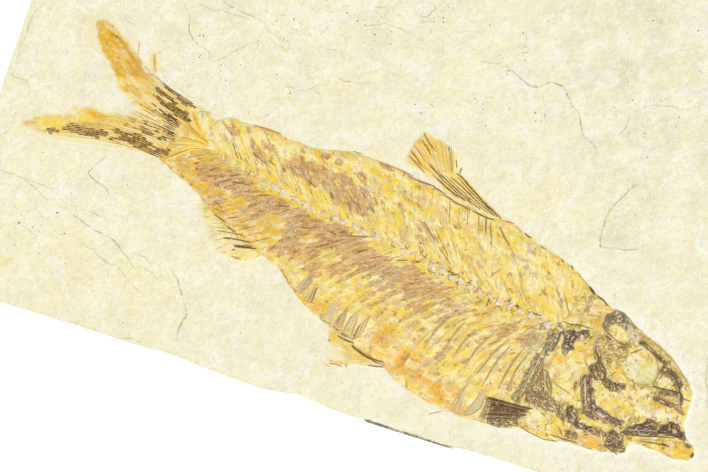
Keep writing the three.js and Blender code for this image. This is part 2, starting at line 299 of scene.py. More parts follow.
BACK = [
    (-3.1, 4.3), (-1.5, 4.8), (-0.3, 3.9), (1.4, 5.4), (4.6, 5.9), (7.5, 6.6), (11, 6.6), (15.5, 7.3),
    (19.6, 9.1), (22.8, 9.7), (28, 10.2), (33.4, 10.1), (37.3, 9.8), (43.2, 9.9), (45.6, 10.7),
    (50.3, 10.0), (55.1, 9.4), (57.4, 9.0), (59.9, 8.1), (62, 7.3), (65.7, 6.1), (66.5, 6.4), (68.2, 6.1),
    (70.5, 5.1), (74, 4.6), (75.7, 4.2), (77.6, 3.3), (79.3, 2.4), (81, 1.5), (82.2, 0.2), (82.5, -1.2),
    (83.1, -4.7), (84.4, -6.2), (86.0, -6.8), (86.6, -8.0),
]
BELLY = [
    (-5.2, -4.9), (-3, -5.6), (-0.1, -6.2), (3, -7.2), (6.2, -8.6), (10.5, -10), (15.5, -10.9),
    (18.5, -11.6), (20.7, -13.0), (23.2, -14.1), (25.9, -15.0), (30.2, -15.8), (35.4, -16.8),
    (38.5, -17.2), (41.6, -18.5), (45.6, -19.0), (49.5, -19.1), (53, -18.7), (57.2, -17.9), (59.6, -17.2),
    (61.6, -16.2), (65.8, -15.9), (68.3, -14.9), (72.5, -14.2), (75.2, -13.2), (77.0, -12.4),
    (77.4, -10.6), (78.8, -10.1), (84.1, -9.7), (86.1, -8.9),
]
BODY = BACK + BELLY[::-1] + [(-4.6, 0)]
TAIL_UPPER = [
    (-1.5, 4.7), (-5.1, 4.8), (-7.6, 5.1), (-10.3, 5.5), (-13.4, 6.5), (-15.3, 7.4), (-17.6, 8.6),
    (-19.6, 9.6), (-21.6, 10.0), (-22.9, 9.6), (-22.9, 8.6), (-21.6, 6.9), (-20.2, 5.5), (-18.4, 4.4),
    (-16.8, 3.0), (-15.4, 1.6), (-13.6, 0.8), (-11.9, 0.0), (-2.5, -0.6),
]
TAIL_LOWER = [
    (-2.5, 0.6), (-10.5, 0.2), (-13.0, -1.2), (-15.4, -2.2), (-17.8, -2.6), (-20.2, -3.6), (-20.6, -5.2),
    (-22.6, -6.2), (-24.6, -7.8), (-26.4, -9.7), (-24.6, -9.9), (-22.0, -9.5), (-18.3, -8.2),
    (-13.8, -6.7), (-8.7, -5.5), (-5.2, -4.9), (-1.5, -5.8),
]
# Paler skin that shows through thin stone round the tips of the tail.
HALOS = [
    [(-10.0, 5.2), (-15.0, 7.0), (-19.5, 10.1), (-20.5, 11.1), (-22.0, 11.3), (-23.4, 10.4), (-24.2, 8.7),
     (-23.2, 6.6), (-21.9, 5.2), (-20.0, 4.7), (-16.0, 4.0), (-12.0, 2.0)],
    [(-5.0, -4.7), (-11.0, -6.4), (-15.6, -8.0), (-20.2, -9.6), (-25.8, -10.4), (-26.4, -8.6),
     (-25.2, -6.9), (-23.6, -6.3), (-21.8, -6.2), (-19.0, -5.4), (-12.0, -3.4)],
]
DORSAL = [
    (45.6, 10.2), (44.3, 10.9), (40.7, 12.0), (37.1, 13.4), (36.1, 14.3), (34.6, 16.0), (31.7, 16.8),
    (28.4, 17.2), (27.6, 14.6), (27.5, 12.2), (28.6, 11.2), (30.8, 11.2), (33.6, 10.2), (37, 9.7),
    (42, 9.6),
]
ANAL = [
    (2.4, -6.6), (3.6, -8.6), (4.6, -10.2), (6.4, -12.0), (8.7, -13.5), (11.2, -13.7), (13.2, -13.1),
    (14.4, -12.0), (15.8, -11.0), (14, -9.6), (8, -7.8),
]
PELVIC = [
    (27.4, -15.2), (29.0, -16.6), (30.2, -18.3), (31.2, -20.9), (33.2, -20.6), (35.0, -19.4),
    (37.8, -18.2), (39.3, -17.4), (38.6, -16.6), (33, -15.6),
]
BACKBONE = [(-3, 0.1), (1.1, -0.3), (6.2, -0.4), (13.3, -1.0), (17.6, -1.1), (25.5, -0.7), (30, -0.3),
            (39, -0.5), (45, -0.7), (49.5, -0.8), (53, -0.4), (60, -0.3), (64, 0.0)]
back_at = profile(BACK[:26])
belly_at = profile(BELLY[:23])
backbone_at = profile(BACKBONE)

VERTEBRAE = 36
VERTEBRA_STEP = 1.64
FIRST_VERTEBRA = 0.8
# How far from the backbone spines (above) and ribs (below) stop sweeping back.
SPINE_REACH, RIB_REACH = 16.0, 17.0
# Numbers of the vertebrae, from the tail, where ribs start, and where the bones look crushed or faint.
FIRST_RIB = 17
FIRST_CRUSHED = 21
FAINT_VERTEBRAE = set(range(6)) | set(range(17, 22))


def lean(depth, reach):
    """How far a rib or spine has swept back towards the tail at a depth below or above the backbone."""
    v = np.clip(depth / reach, 0, 1)
    return reach * (1.15 * v - 0.55 * v * v)


def rib_coordinates(s, t):
    """(station of the rib through a point, distance from the backbone)."""
    depth = t - backbone_at(s)
    reach = np.where(depth > 0, SPINE_REACH, RIB_REACH)
    return s + lean(np.abs(depth), reach), depth


# ------------------------------------------------------------------ the stone's surface

# Lamina edges and hairline cracks, in millimetres from the slab's front left corner:
# (path, width, darkness, step down on its right-hand side).
CRACKS = [
    ([(68.5, 56.4), (69.8, 56.3), (72.0, 57.1), (73.5, 56.4), (76.5, 54.9), (78.2, 55.3), (79.7, 56.5),
      (81.4, 56.4), (82.8, 55.3), (83.7, 54.0), (84.9, 53.4), (85.7, 51.8), (86.6, 50.2), (88.4, 49.4),
      (89.1, 48.9), (89.4, 47.8)], 0.16, 0.62, 0.10),
    ([(92.1, 55.3), (92.4, 54.2), (92.3, 53.1), (91.8, 52.1)], 0.13, 0.40, 0.0),
    ([(92.4, 55.8), (93.8, 56.8), (95.7, 57.9), (97.7, 58.4), (99.3, 58.2), (100.8, 58.7), (102.5, 60.1)],
     0.14, 0.30, 0.05),
    ([(97.0, 46.0), (96.0, 45.2), (94.7, 42.8), (93.8, 41.0), (93.4, 38.2), (93.5, 36.3), (94.0, 35.1),
      (95.7, 35.3), (98.1, 35.8), (99.5, 36.4), (100.5, 37.6)], 0.16, 0.58, 0.08),
    ([(29.0, 53.6), (30.6, 53.0), (33.5, 52.8), (35.1, 52.5), (36.4, 52.1)], 0.13, 0.60, 0.05),
    ([(24.7, 52.2), (27.8, 51.8), (29.6, 52.2), (32.9, 52.2), (33.7, 52.0)], 0.10, 0.32, 0.03),
    ([(36.7, 50.5), (38.2, 49.8), (40.5, 49.4)], 0.11, 0.35, 0.03),
    ([(36.7, 51.4), (38.1, 51.0), (39.9, 50.3)], 0.11, 0.35, 0.0),
    ([(39.1, 52.8), (40.8, 52.5), (43.6, 52.6)], 0.11, 0.40, 0.03),
    ([(44.5, 52.9), (44.5, 53.3), (45.4, 54.4)], 0.11, 0.45, 0.0),
    ([(46.9, 55.5), (47.2, 54.3), (48.6, 53.0)], 0.10, 0.32, 0.0),
    ([(51.1, 59.2), (52.8, 58.0)], 0.11, 0.50, 0.0), ([(53.0, 59.6), (52.8, 58.0)], 0.10, 0.35, 0.0),
    ([(50.9, 59.4), (52.9, 60.0)], 0.10, 0.35, 0.0),
    ([(49.8, 55.9), (52.0, 56.8), (53.2, 57.6), (54.6, 57.6), (57.1, 57.3)], 0.12, 0.40, 0.04),
    ([(58.0, 59.9), (59.3, 60.8), (60.2, 62.4), (61.2, 63.7)], 0.12, 0.45, 0.04),
    ([(45.8, 51.1), (47.9, 51.7), (49.0, 50.8), (49.9, 50.8)], 0.10, 0.30, 0.0),
    ([(48.9, 47.5), (51.1, 47.6), (53.8, 48.4)], 0.14, 0.50, 0.04),
    ([(54.7, 50.8), (55.9, 50.9), (57.3, 50.4), (59.3, 51.6)], 0.11, 0.35, 0.03),
    ([(41.2, 44.0), (42.8, 44.2), (44.4, 44.0), (45.3, 45.0), (47.2, 46.0)], 0.11, 0.35, 0.03),
    ([(23.5, 51.4), (24.9, 50.2), (25.5, 47.6), (26.8, 46.4), (29.0, 45.9), (30.0, 44.6)], 0.12, 0.50, 0.05),
    ([(30.2, 44.2), (32.2, 45.8), (33.5, 47.6), (36.1, 49.5)], 0.11, 0.40, 0.03),
    ([(63.8, 59.5), (66.0, 60.3), (68.2, 60.2)], 0.11, 0.32, 0.0),
    ([(66.2, 53.8), (67.8, 53.6)], 0.11, 0.35, 0.0), ([(39.3, 38.1), (41.7, 40.5)], 0.11, 0.30, 0.0),
    ([(58.2, 59.3), (60.4, 60.1)], 0.10, 0.25, 0.0),
    ([(3.3, 45.7), (2.9, 44.2), (2.2, 42.3), (2.4, 40.0), (1.8, 38.1), (2.2, 36.0)], 0.12, 0.25, 0.08),
    ([(1.7, 33.7), (2.5, 33.3), (4.3, 33.5), (5.3, 32.4)], 0.12, 0.35, 0.04),
    ([(15.6, 47.5), (15.8, 46.6), (17.9, 45.9)], 0.10, 0.25, 0.0),
    ([(18.8, 44.3), (19.0, 42.8)], 0.10, 0.40, 0.0),
    ([(26.1, 39.0), (28.2, 38.4), (30.7, 38.6)], 0.10, 0.35, 0.03),
    ([(37.8, 54.1), (38.9, 54.6)], 0.11, 0.50, 0.0),
    ([(4.6, 19.3), (6.4, 19.4), (8.4, 19.2), (11.1, 18.0), (12.6, 17.2)], 0.13, 0.50, 0.05),
    ([(8.3, 19.5), (10.0, 19.2), (13.2, 19.0)], 0.11, 0.32, 0.03),
    ([(18.9, 26.7), (18.8, 25.6), (17.2, 23.0), (18.5, 22.2), (20.5, 21.7), (22.0, 20.0)], 0.13, 0.45, 0.04),
    ([(14.5, 17.8), (16.7, 17.7), (19.0, 17.5), (22.0, 16.9), (23.7, 17.5)], 0.11, 0.40, 0.04),
    ([(15.6, 17.1), (17.5, 16.1), (19.6, 15.3), (23.1, 14.7), (24.9, 13.7), (26.8, 12.5), (28.3, 11.1)],
     0.13, 0.55, 0.06),
    ([(27.7, 13.6), (29.0, 13.5), (30.5, 12.6)], 0.11, 0.35, 0.0),
    ([(29.7, 11.7), (32.1, 10.7)], 0.13, 0.50, 0.03),
    ([(19.2, 12.8), (21.3, 12.1), (23.8, 11.1), (26.1, 10.7), (27.4, 9.6), (31.1, 7.6)], 0.11, 0.40, 0.04),
    ([(33.3, 13.0), (34.8, 11.5), (36.4, 9.4), (37.6, 7.2), (37.2, 4.4), (37.5, 2.7)], 0.15, 0.55, 0.08),
    ([(8.6, 12.4), (10.8, 12.3), (13.0, 11.4)], 0.11, 0.30, 0.03),
    ([(22.0, 1.0), (25.5, 0.8)], 0.11, 0.35, 0.04),
    ([(29.2, 0.7), (30.7, 1.3), (32.7, 1.0)], 0.11, 0.40, 0.04),
    ([(104.0, 72.0), (108.5, 66.5), (108.0, 60.0), (112.5, 54.0), (118.0, 52.5)], 0.15, 0.45, 0.08),
    ([(118.0, 30.0), (114.0, 24.0), (116.5, 17.0), (121.0, 12.0)], 0.13, 0.35, 0.06),
    ([(40.0, 78.0), (52.0, 74.5), (61.0, 76.0), (72.0, 72.0)], 0.14, 0.40, 0.06),
]
# Soft spots of other stone colours: (x, y, radius, radius, weight).
GREY_PATCHES = [
    (87, 66, 16, 12, 0.9), (97, 50, 14, 9, 0.7), (98, 38, 6, 4, 0.8), (56, 58, 10, 7, 0.35),
    (28, 52, 8, 4, 0.45), (20, 46, 6, 5, 0.35), (108, 60, 16, 16, 0.5), (6, 33, 5, 3, 0.4),
]
YELLOW_PATCHES = [(22, 10, 16, 9, 0.5), (48, 34, 8, 4, 0.5), (64, 52, 9, 5, 0.6), (8, 24, 8, 6, 0.3),
                  (80, 40, 12, 6, 0.4)]
RUSTY_SPOTS = [
    (96.0, 65.8, 0.30, 0.60, 0.8), (106.5, 39.6, 0.75, 0.60, 0.45), (59.1, 56.9, 0.30, 0.60, 0.9),
    (52.3, 55.8, 1.10, 0.80, 0.35), (39.9, 49.4, 0.90, 0.60, 0.4), (45.2, 46.5, 0.35, 0.30, 0.5),
    (8.8, 6.5, 2.2, 1.2, 0.3), (29.5, 4.9, 1.5, 1.0, 0.25),
]


def patches(x, y, spots):
    """The strongest of several soft elliptical spots (x, y, radius, radius, weight)."""
    best = np.zeros(np.shape(x))
    for cx, cy, rx, ry, weight in spots:
        d = ((x - cx) / rx) ** 2 + ((y - cy) / ry) ** 2
        best = np.maximum(best, weight * np.clip(1.15 - d, 0, 1))
    return best


def side_of_path(x, y, path):
    """+1 on the right of the path's nearest stretch, -1 on the left."""
    path = np.array(path, float)
    best = np.full(np.shape(x), 1e9)
    side = np.ones(np.shape(x))
    for (x0, y0), (x1, y1) in zip(path, path[1:]):
        dx, dy = x1 - x0, y1 - y0
        k = np.clip(((x - x0) * dx + (y - y0) * dy) / (dx * dx + dy * dy), 0, 1)
        d = np.hypot(x - x0 - k * dx, y - y0 - k * dy)
        here = np.where(dx * (y - y0) - dy * (x - x0) < 0, 1, -1)
        side = np.where(d < best, here, side)
        best = np.minimum(best, d)
    return side, best


def head_groove(s, t, edge):
    """The pale band where stone was scraped away round the head, with a brighter ring at the body's edge that
    is a painted highlight on the groove's rim; from the depth inside the body's outline.
    """
    fore = smooth(57, 66, s + 0.35 * np.abs(t + 6))
    wobble = 0.5 * noise(s / 2.1, t / 2.1, 77)
    ring = smooth(-1.3, -0.7, edge) * smooth(0.2, -0.3, edge)
    return fore * (0.45 * smooth(-3.0 - wobble, -1.8, edge) * smooth(0.3, -0.5, edge) + 0.75 * ring)


def stone_height(x, y):
    """Relief of the bedding plane; x and y in millimetres from the slab's corner."""
    z = 0.05 * (fractal(x / 9, y / 9, 3) - 0.5) + 0.025 * (fractal(x / 1.4, y / 1.4, 5) - 0.5)
    for path, _, _, step in CRACKS:
        if step:
            side, d = side_of_path(x, y, path)
            z = z - step * 0.5 * (side > 0) * np.exp(-d / 2.2)
    return z


def stone_colour(x, y, groove=0.0):
    mottle = fractal(x / 3.1, y / 3.1, 11, 4)
    cloud = fractal(x / 2.2, y / 2.2, 13, 4)
    fine = fractal(x / 0.8, y / 0.8, 12, 2)
    colour = np.broadcast_to(STONE, np.shape(x) + (3,))
    colour = mix(colour, STONE_YELLOW, np.clip(patches(x, y, YELLOW_PATCHES) * (0.5 + mottle), 0, 1))
    grey = patches(x, y, GREY_PATCHES) * smooth(0.25, 0.75, mottle) + 0.25 * smooth(0.6, 0.85, mottle)
    colour = mix(colour, STONE_GREY, np.clip(grey, 0, 1))
    colour = mix(colour, STONE_PALE, 0.55 * smooth(0.5, 0.22, mottle))
    colour = mix(colour, STONE_COOL, 0.75 * smooth(0.56, 0.74, cloud))
    colour = mix(colour, STONE_YELLOW, 0.55 * smooth(0.44, 0.28, cloud))
    colour = mix(colour, SCRAPED_STONE_AND_HIGHLIGHT, 0.75 * np.clip(groove, 0, 1))
    colour = mix(colour, GOLD, patches(x, y, RUSTY_SPOTS))
    return colour * (0.97 + 0.06 * fine)[..., None]


# ------------------------------------------------------------------ mesh making

def new_piece(name, points, faces, material, attributes, node=None):
    """A mesh from points in millimetres and faces as arrays of three or four corners."""
    mesh = bpy.data.meshes.new(name)
    points = np.asarray(points, float)
    faces = [np.asarray(f, np.int64) for f in faces if len(f)]
    corners = np.concatenate([f.ravel() for f in faces])
    sizes = np.concatenate([np.full(len(f), f.shape[1]) for f in faces])
    starts = np.concatenate([[0], np.cumsum(sizes)[:-1]])
    mesh.vertices.add(len(points))
    mesh.vertices.foreach_set("co", (points * MM).ravel())
    mesh.loops.add(len(corners))
    mesh.loops.foreach_set("vertex_index", corners)
    mesh.polygons.add(len(sizes))
    mesh.polygons.foreach_set("loop_start", starts)
    mesh.update(calc_edges=True)
    mesh.polygons.foreach_set("use_smooth", np.full(len(sizes), True))
    for key, values in attributes.items():
        values = np.asarray(values, float)
        if values.ndim == 2 and key == "tint":
            layer = mesh.attributes.new(key, "FLOAT_COLOR", "POINT")
            layer.data.foreach_set("color", np.column_stack([values, np.ones(len(values))]).ravel())
        elif values.ndim == 2:
            layer = mesh.attributes.new(key, "FLOAT_VECTOR", "POINT")
            layer.data.foreach_set("vector", values.ravel())
        else:
            layer = mesh.attributes.new(key, "FLOAT", "POINT")
            layer.data.foreach_set("value", values)
    mesh.materials.append(material)
    piece = bpy.data.objects.new(name, mesh)
    bpy.context.scene.collection.objects.link(piece)
    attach(piece, "root")
    if node:
        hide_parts(node)
    return piece


# ------------------------------------------------------------------ materials

class Nodes:
    """Shorthand for building a node tree."""

    def __init__(self, name):
        self.material = bpy.data.materials.new(name)
        self.material.use_nodes = True
        self.tree = self.material.node_tree
        self.surface = self.tree.nodes["Principled BSDF"]
        self.place = self.add("ShaderNodeTexCoord").outputs["Object"]

    def feed(self, socket, value):
        """Link another node's output to a socket, or set the socket's own number or colour."""
        if isinstance(value, bpy.types.NodeSocket):
            self.tree.links.new(value, socket)
        elif isinstance(value, np.ndarray):
            socket.default_value = (*value.tolist(), 1.0)
        else:
            socket.default_value = value

    def add(self, kind, inputs=(), **settings):
        node = self.tree.nodes.new(kind)
        for key, value in settings.items():
            setattr(node, key, value)
        for key, value in dict(inputs).items():
            self.feed(node.inputs[key], value)
        return node

    def attribute(self, name, output="Fac"):
        return self.add("ShaderNodeAttribute", attribute_name=name).outputs[output]

    def noise(self, vector, scale, detail, roughness):
        inputs = {"Vector": vector, "Scale": scale, "Detail": detail, "Roughness": roughness}
        return self.add("ShaderNodeTexNoise", inputs).outputs["Fac"]

    def drawn_out(self, vector, factors, detail, roughness):
        """Noise on coordinates that are scaled by a factor for each axis."""
        scaled = self.add("ShaderNodeVectorMath", {0: vector, 1: factors}, operation="MULTIPLY")
        return self.noise(scaled.outputs["Vector"], 1.0, detail, roughness)

    def math(self, operation, a, b=0.0, c=0.0):
        return self.add("ShaderNodeMath", {0: a, 1: b, 2: c}, operation=operation).outputs[0]

    def product(self, a, b):
        return self.math("MULTIPLY", a, b)

    def total(self, *terms):
        """The sum of the terms' products."""
        result = self.product(*terms[0])
        for a, b in terms[1:]:
            result = self.math("ADD", result, self.product(a, b))
        return result

    def spread(self, value, low, high, to_low=0.0, to_high=1.0):
        inputs = {"Value": value, "From Min": low, "From Max": high, "To Min": to_low, "To Max": to_high}
        return self.add("ShaderNodeMapRange", inputs, clamp=True).outputs["Result"]

    def near(self, value, centre, low, high, to_low=0.0, to_high=1.0):
        """Spread the distance of a value from a centre, which draws thin lines through noise."""
        return self.spread(self.math("ABSOLUTE", self.math("SUBTRACT", value, centre)), low, high, to_low,
                           to_high)

    def blend(self, factor, a, b, mode="MIX"):
        return self.add("ShaderNodeMix", {0: factor, 6: a, 7: b}, data_type="RGBA",
                        blend_type=mode).outputs[2]

    def layered(self, colour, *layers):
        """Lay colours over one another: (value, its start, its end, strength at the end, colour)."""
        for value, low, high, strength, over in layers:
            colour = self.blend(self.spread(value, low, high, 0.0, strength), colour, over)
        return colour

    def finish(self, colour, roughness, height, depth):
        """Join colour, roughness and a bump of a depth in metres to the surface."""
        bump = self.add("ShaderNodeBump", {"Height": height, "Distance": depth, "Strength": 0.9})
        self.feed(self.surface.inputs["Base Color"], colour)
        self.feed(self.surface.inputs["Roughness"], roughness)
        self.feed(self.surface.inputs["Normal"], bump.outputs["Normal"])
        self.surface.inputs["Specular IOR Level"].default_value = 0.25
        return self.material


def stone_material():
    n = Nodes("limestone")
    side = n.attribute("side")
    mottle = n.noise(n.place, 300.0, 6.0, 0.62)
    crumbs = n.noise(n.place, 1500.0, 5.0, 0.68)
    grain = n.noise(n.place, 3300.0, 3.0, 0.6)
    grit = n.noise(n.place, 8000.0, 2.0, 0.5)
    sheen = n.noise(n.place, 780.0, 6.0, 0.7)
    # Small dark spots of painted shadow, standing for pits that the bump does not make.
    pit_shadows = n.noise(n.place, 2100.0, 1.0, 0.5)
    colour = n.layered(
        n.attribute("tint", "Color"),
        (mottle, 0.48, 0.74, 0.45, STONE_GREY), (mottle, 0.46, 0.30, 0.50, STONE_PALE),
        (crumbs, 0.55, 0.68, 0.60, SAND), (crumbs, 0.46, 0.32, 0.50, STONE_PALE),
        (grain, 0.55, 0.72, 0.40, SAND_DEEP), (grain, 0.45, 0.30, 0.50, CHALK))
    veins = n.near(n.noise(n.place, 420.0, 5.0, 0.66), 0.5, 0.0, 0.012, 0.45, 0.0)
    colour = n.blend(n.product(veins, n.spread(crumbs, 0.50, 0.60)), colour, VEIN)
    # The sheen noise paints a sheen on the stone: cool pale where it is high, duller sand where it is low.
    colour = n.layered(
        colour, (sheen, 0.54, 0.64, 0.40, PAINTED_SHEEN), (sheen, 0.46, 0.37, 0.30, SAND_DULL),
        (pit_shadows, 0.775, 0.80, 0.60, PIT_SHADOW))
    # The broken sides show the layers that the stone splits into.
    layers = n.drawn_out(n.place, (60.0, 60.0, 2600.0), 4.0, 0.6)
    broken = n.drawn_out(n.place, (420.0, 420.0, 1500.0), 5.0, 0.66)
    side_colour = n.layered(
        LAYER_PALE, (layers, 0.40, 0.60, 1.0, LAYER_TAN), (layers, 0.57, 0.66, 0.8, LAYER_DARK),
        (broken, 0.54, 0.64, 0.6, BREAK_DARK), (broken, 0.45, 0.36, 0.6, BREAK_PALE))
    height = n.total(
        (mottle, 0.8), (crumbs, 0.55), (grain, 0.34), (grit, 0.12), (sheen, 0.9),
        (n.product(layers, side), 1.9), (n.product(broken, side), 1.4))
    return n.finish(n.blend(side, colour, side_colour), n.spread(mottle, 0.3, 0.7, 0.82, 0.98), height,
                    0.00021)


def film_material(name, hairs, gloss, mottling):
    """Fossil skin and flesh: a yellow film with torn brown stains and fibres that run along ribs and rays."""
    n = Nodes(name)
    flow = n.attribute("flow", "Vector")
    base = n.attribute("tint", "Color")
    cover, stain, wiry = n.attribute("cover"), n.attribute("stain"), n.attribute("wiry")
    # Soft clouds of paler, deeper and pinker yellow, then smaller flecks.
    clouds = n.drawn_out(flow, (0.42, 0.66, 1.0), 6.0, 0.62)
    warm = n.drawn_out(flow, (0.36, 0.58, 7.0), 6.0, 0.64)
    flecks = n.drawn_out(flow, (0.95, 1.25, 1.0), 5.0, 0.68)
    deep = n.blend(1.0, base, DEEPENED, "MULTIPLY")
    pale = n.blend(0.65, base, FILM_PALE)
    film = n.layered(
        base, (clouds, 0.50, 0.57, mottling, deep), (clouds, 0.48, 0.41, mottling, pale),
        (warm, 0.54, 0.585, 0.60 * mottling, FILM_PINK),
        (flecks, 0.45, 0.38, 0.5 * mottling, pale), (flecks, 0.56, 0.62, 0.6 * mottling, deep))
    # Torn stains.
    islands = n.drawn_out(flow, (0.85, 0.62, 1.0), 2.0, 0.5)
    tear = n.drawn_out(flow, (1.3, 1.4, 1.0), 6.0, 0.74)
    shade = n.drawn_out(flow, (1.35, 1.1, 1.0), 6.0, 0.72)
    torn = n.math("ADD", stain, n.math("MULTIPLY_ADD", tear, 3.0, -1.5))
    torn = n.math("ADD", torn, n.math("MULTIPLY_ADD", islands, 2.4, -1.2))
    torn = n.spread(torn, 0.36, 0.47)
    stained = n.layered(STAIN_BROWN, (warm, 0.46, 0.54, 1.0, STAIN_PINK),
                        (clouds, 0.52, 0.59, 0.8, STAIN_DEEP))
    stained = n.layered(
        n.blend(0.34, stained, n.blend(1.0, base, BROWNED, "MULTIPLY")),
        (shade, 0.54, 0.60, 0.85, STAIN_DARK), (shade, 0.46, 0.39, 0.9, STAIN_LIGHT),
        (flecks, 0.56, 0.61, 0.8, STAIN_AMBER))
    film = n.blend(n.product(torn, 0.94), film, stained)
    # Hair-thin bones: pale lines along the flow, pale bone that is also a painted highlight on their relief,
    # with a brown line of painted shadow beside them; other brown lines are brown hairs.
    first = n.drawn_out(flow, (1.2, 0.50, 1.0), 4.0, 0.66)
    second = n.drawn_out(flow, (1.5, 0.62, 3.0), 4.0, 0.66)
    gaps = n.noise(n.place, 700.0, 4.0, 0.66)
    pale_lines = n.product(n.near(first, 0.5, 0.004, 0.022, hairs, 0.0), n.spread(gaps, 0.49, 0.54))
    painted_shadow_line = n.product(n.near(first, 0.532, 0.002, 0.014, hairs, 0.0), n.spread(gaps, 0.52, 0.57))
    brown_lines = n.product(n.near(second, 0.5, 0.004, 0.018, hairs, 0.0), n.spread(gaps, 0.48, 0.42))
    brown_lines = n.product(n.math("MAXIMUM", brown_lines, painted_shadow_line), n.math("MULTIPLY_ADD", torn, 0.55, 0.35))
    film = n.blend(n.product(pale_lines, 0.9), film, PALE_HAIR_AND_HIGHLIGHT)
    film = n.blend(brown_lines, film, DARK_HAIR_AND_SHADOW)
    # Wiry bone: crumpled dark threads that lie in the grooves of the bump, painted highlights where the knots
    # are high, and gold lumps.
    knots = n.drawn_out(flow, (3.0, 1.3, 1.0), 5.0, 0.74)
    lumps = n.drawn_out(flow, (1.7, 1.2, 4.0), 3.0, 0.6)
    thread = n.near(knots, 0.47, 0.010, 0.065)
    bone = n.blend(n.math("MULTIPLY_ADD", thread, 0.92, 0.08), WIRE_DARK, base)
    bone = n.layered(bone, (knots, 0.545, 0.60, 0.95, WIRE_HIGHLIGHT), (lumps, 0.56, 0.65, 0.7, WIRE_GOLD))
    bony = n.math("ADD", wiry, n.math("MULTIPLY_ADD", lumps, 1.6, -0.8))
    film = n.blend(n.spread(bony, 0.22, 0.46), film, bone)
    # Spots and grain, in the film and in the bare stone round it; where the grain is high the film gets
    # painted glints.
    spots = n.noise(n.place, 1500.0, 4.0, 0.6)
    grain = n.noise(n.place, 4300.0, 3.0, 0.6)
    dark = n.blend(1.0, film, DARKENED, "MULTIPLY")
    film = n.layered(
        film, (spots, 0.62, 0.70, 0.45, dark), (grain, 0.56, 0.70, 0.35, GLINT),
        (grain, 0.42, 0.30, 0.40, dark))
    stone = n.layered(base, (grain, 0.55, 0.75, 0.5, STONE_PALE), (grain, 0.44, 0.30, 0.5, STONE_GREY))
    height = n.total((pale_lines, 0.35), (flecks, 0.9), (n.product(thread, wiry), 0.5), (torn, -0.12))
    height = n.total((height, cover), (grain, 0.35))
    return n.finish(n.blend(cover, stone, film), n.spread(spots, 0.3, 0.7, gloss, gloss + 0.25), height,
                    0.00019)


def bone_material(name, gloss):
    n = Nodes(name)
    base = n.attribute("tint", "Color")
    wear = n.noise(n.place, 2600.0, 4.0, 0.65)
    grain = n.noise(n.place, 7000.0, 2.0, 0.6)
    light = n.blend(0.45, base, BONE_WORN)
    dark = n.blend(1.0, base, AGED, "MULTIPLY")
    colour = n.layered(
        base, (wear, 0.54, 0.68, 0.75, light), (wear, 0.46, 0.32, 0.6, dark), (grain, 0.60, 0.72, 0.4, light))
    height = n.total((wear, 0.7), (grain, 0.3))
    return n.finish(colour, n.spread(wear, 0.3, 0.7, gloss, gloss + 0.3), height, 0.00008)


LIMESTONE = stone_material()
FLANK_FILM = film_material("flank_film", 1.0, 0.58, 1.0)
HEAD_FILM = film_material("head_film", 0.6, 0.50, 1.0)
FIN_FILM = film_material("fin_film", 0.8, 0.60, 0.4)
BONE = bone_material("fossil_bone", 0.42)
RAY_BONE = bone_material("ray_bone", 0.48)


# ------------------------------------------------------------------ the fish's relief and colours

# A grid over the whole fish in its own frame.
GRID = 0.15
S_AXIS = np.arange(-28.0, 88.4, GRID)
T_AXIS = np.arange(-22.4, 18.4, GRID)
S, T = np.meshgrid(S_AXIS, T_AXIS, indexing="ij")

edge_noise = 0.22 * (fractal(S / 0.9, T / 0.9, 41, 3) - 0.5) * 2
BODY_DEPTH = depth_in(S, T, BODY) + edge_noise
RIB, DEPTH = rib_coordinates(S, T)

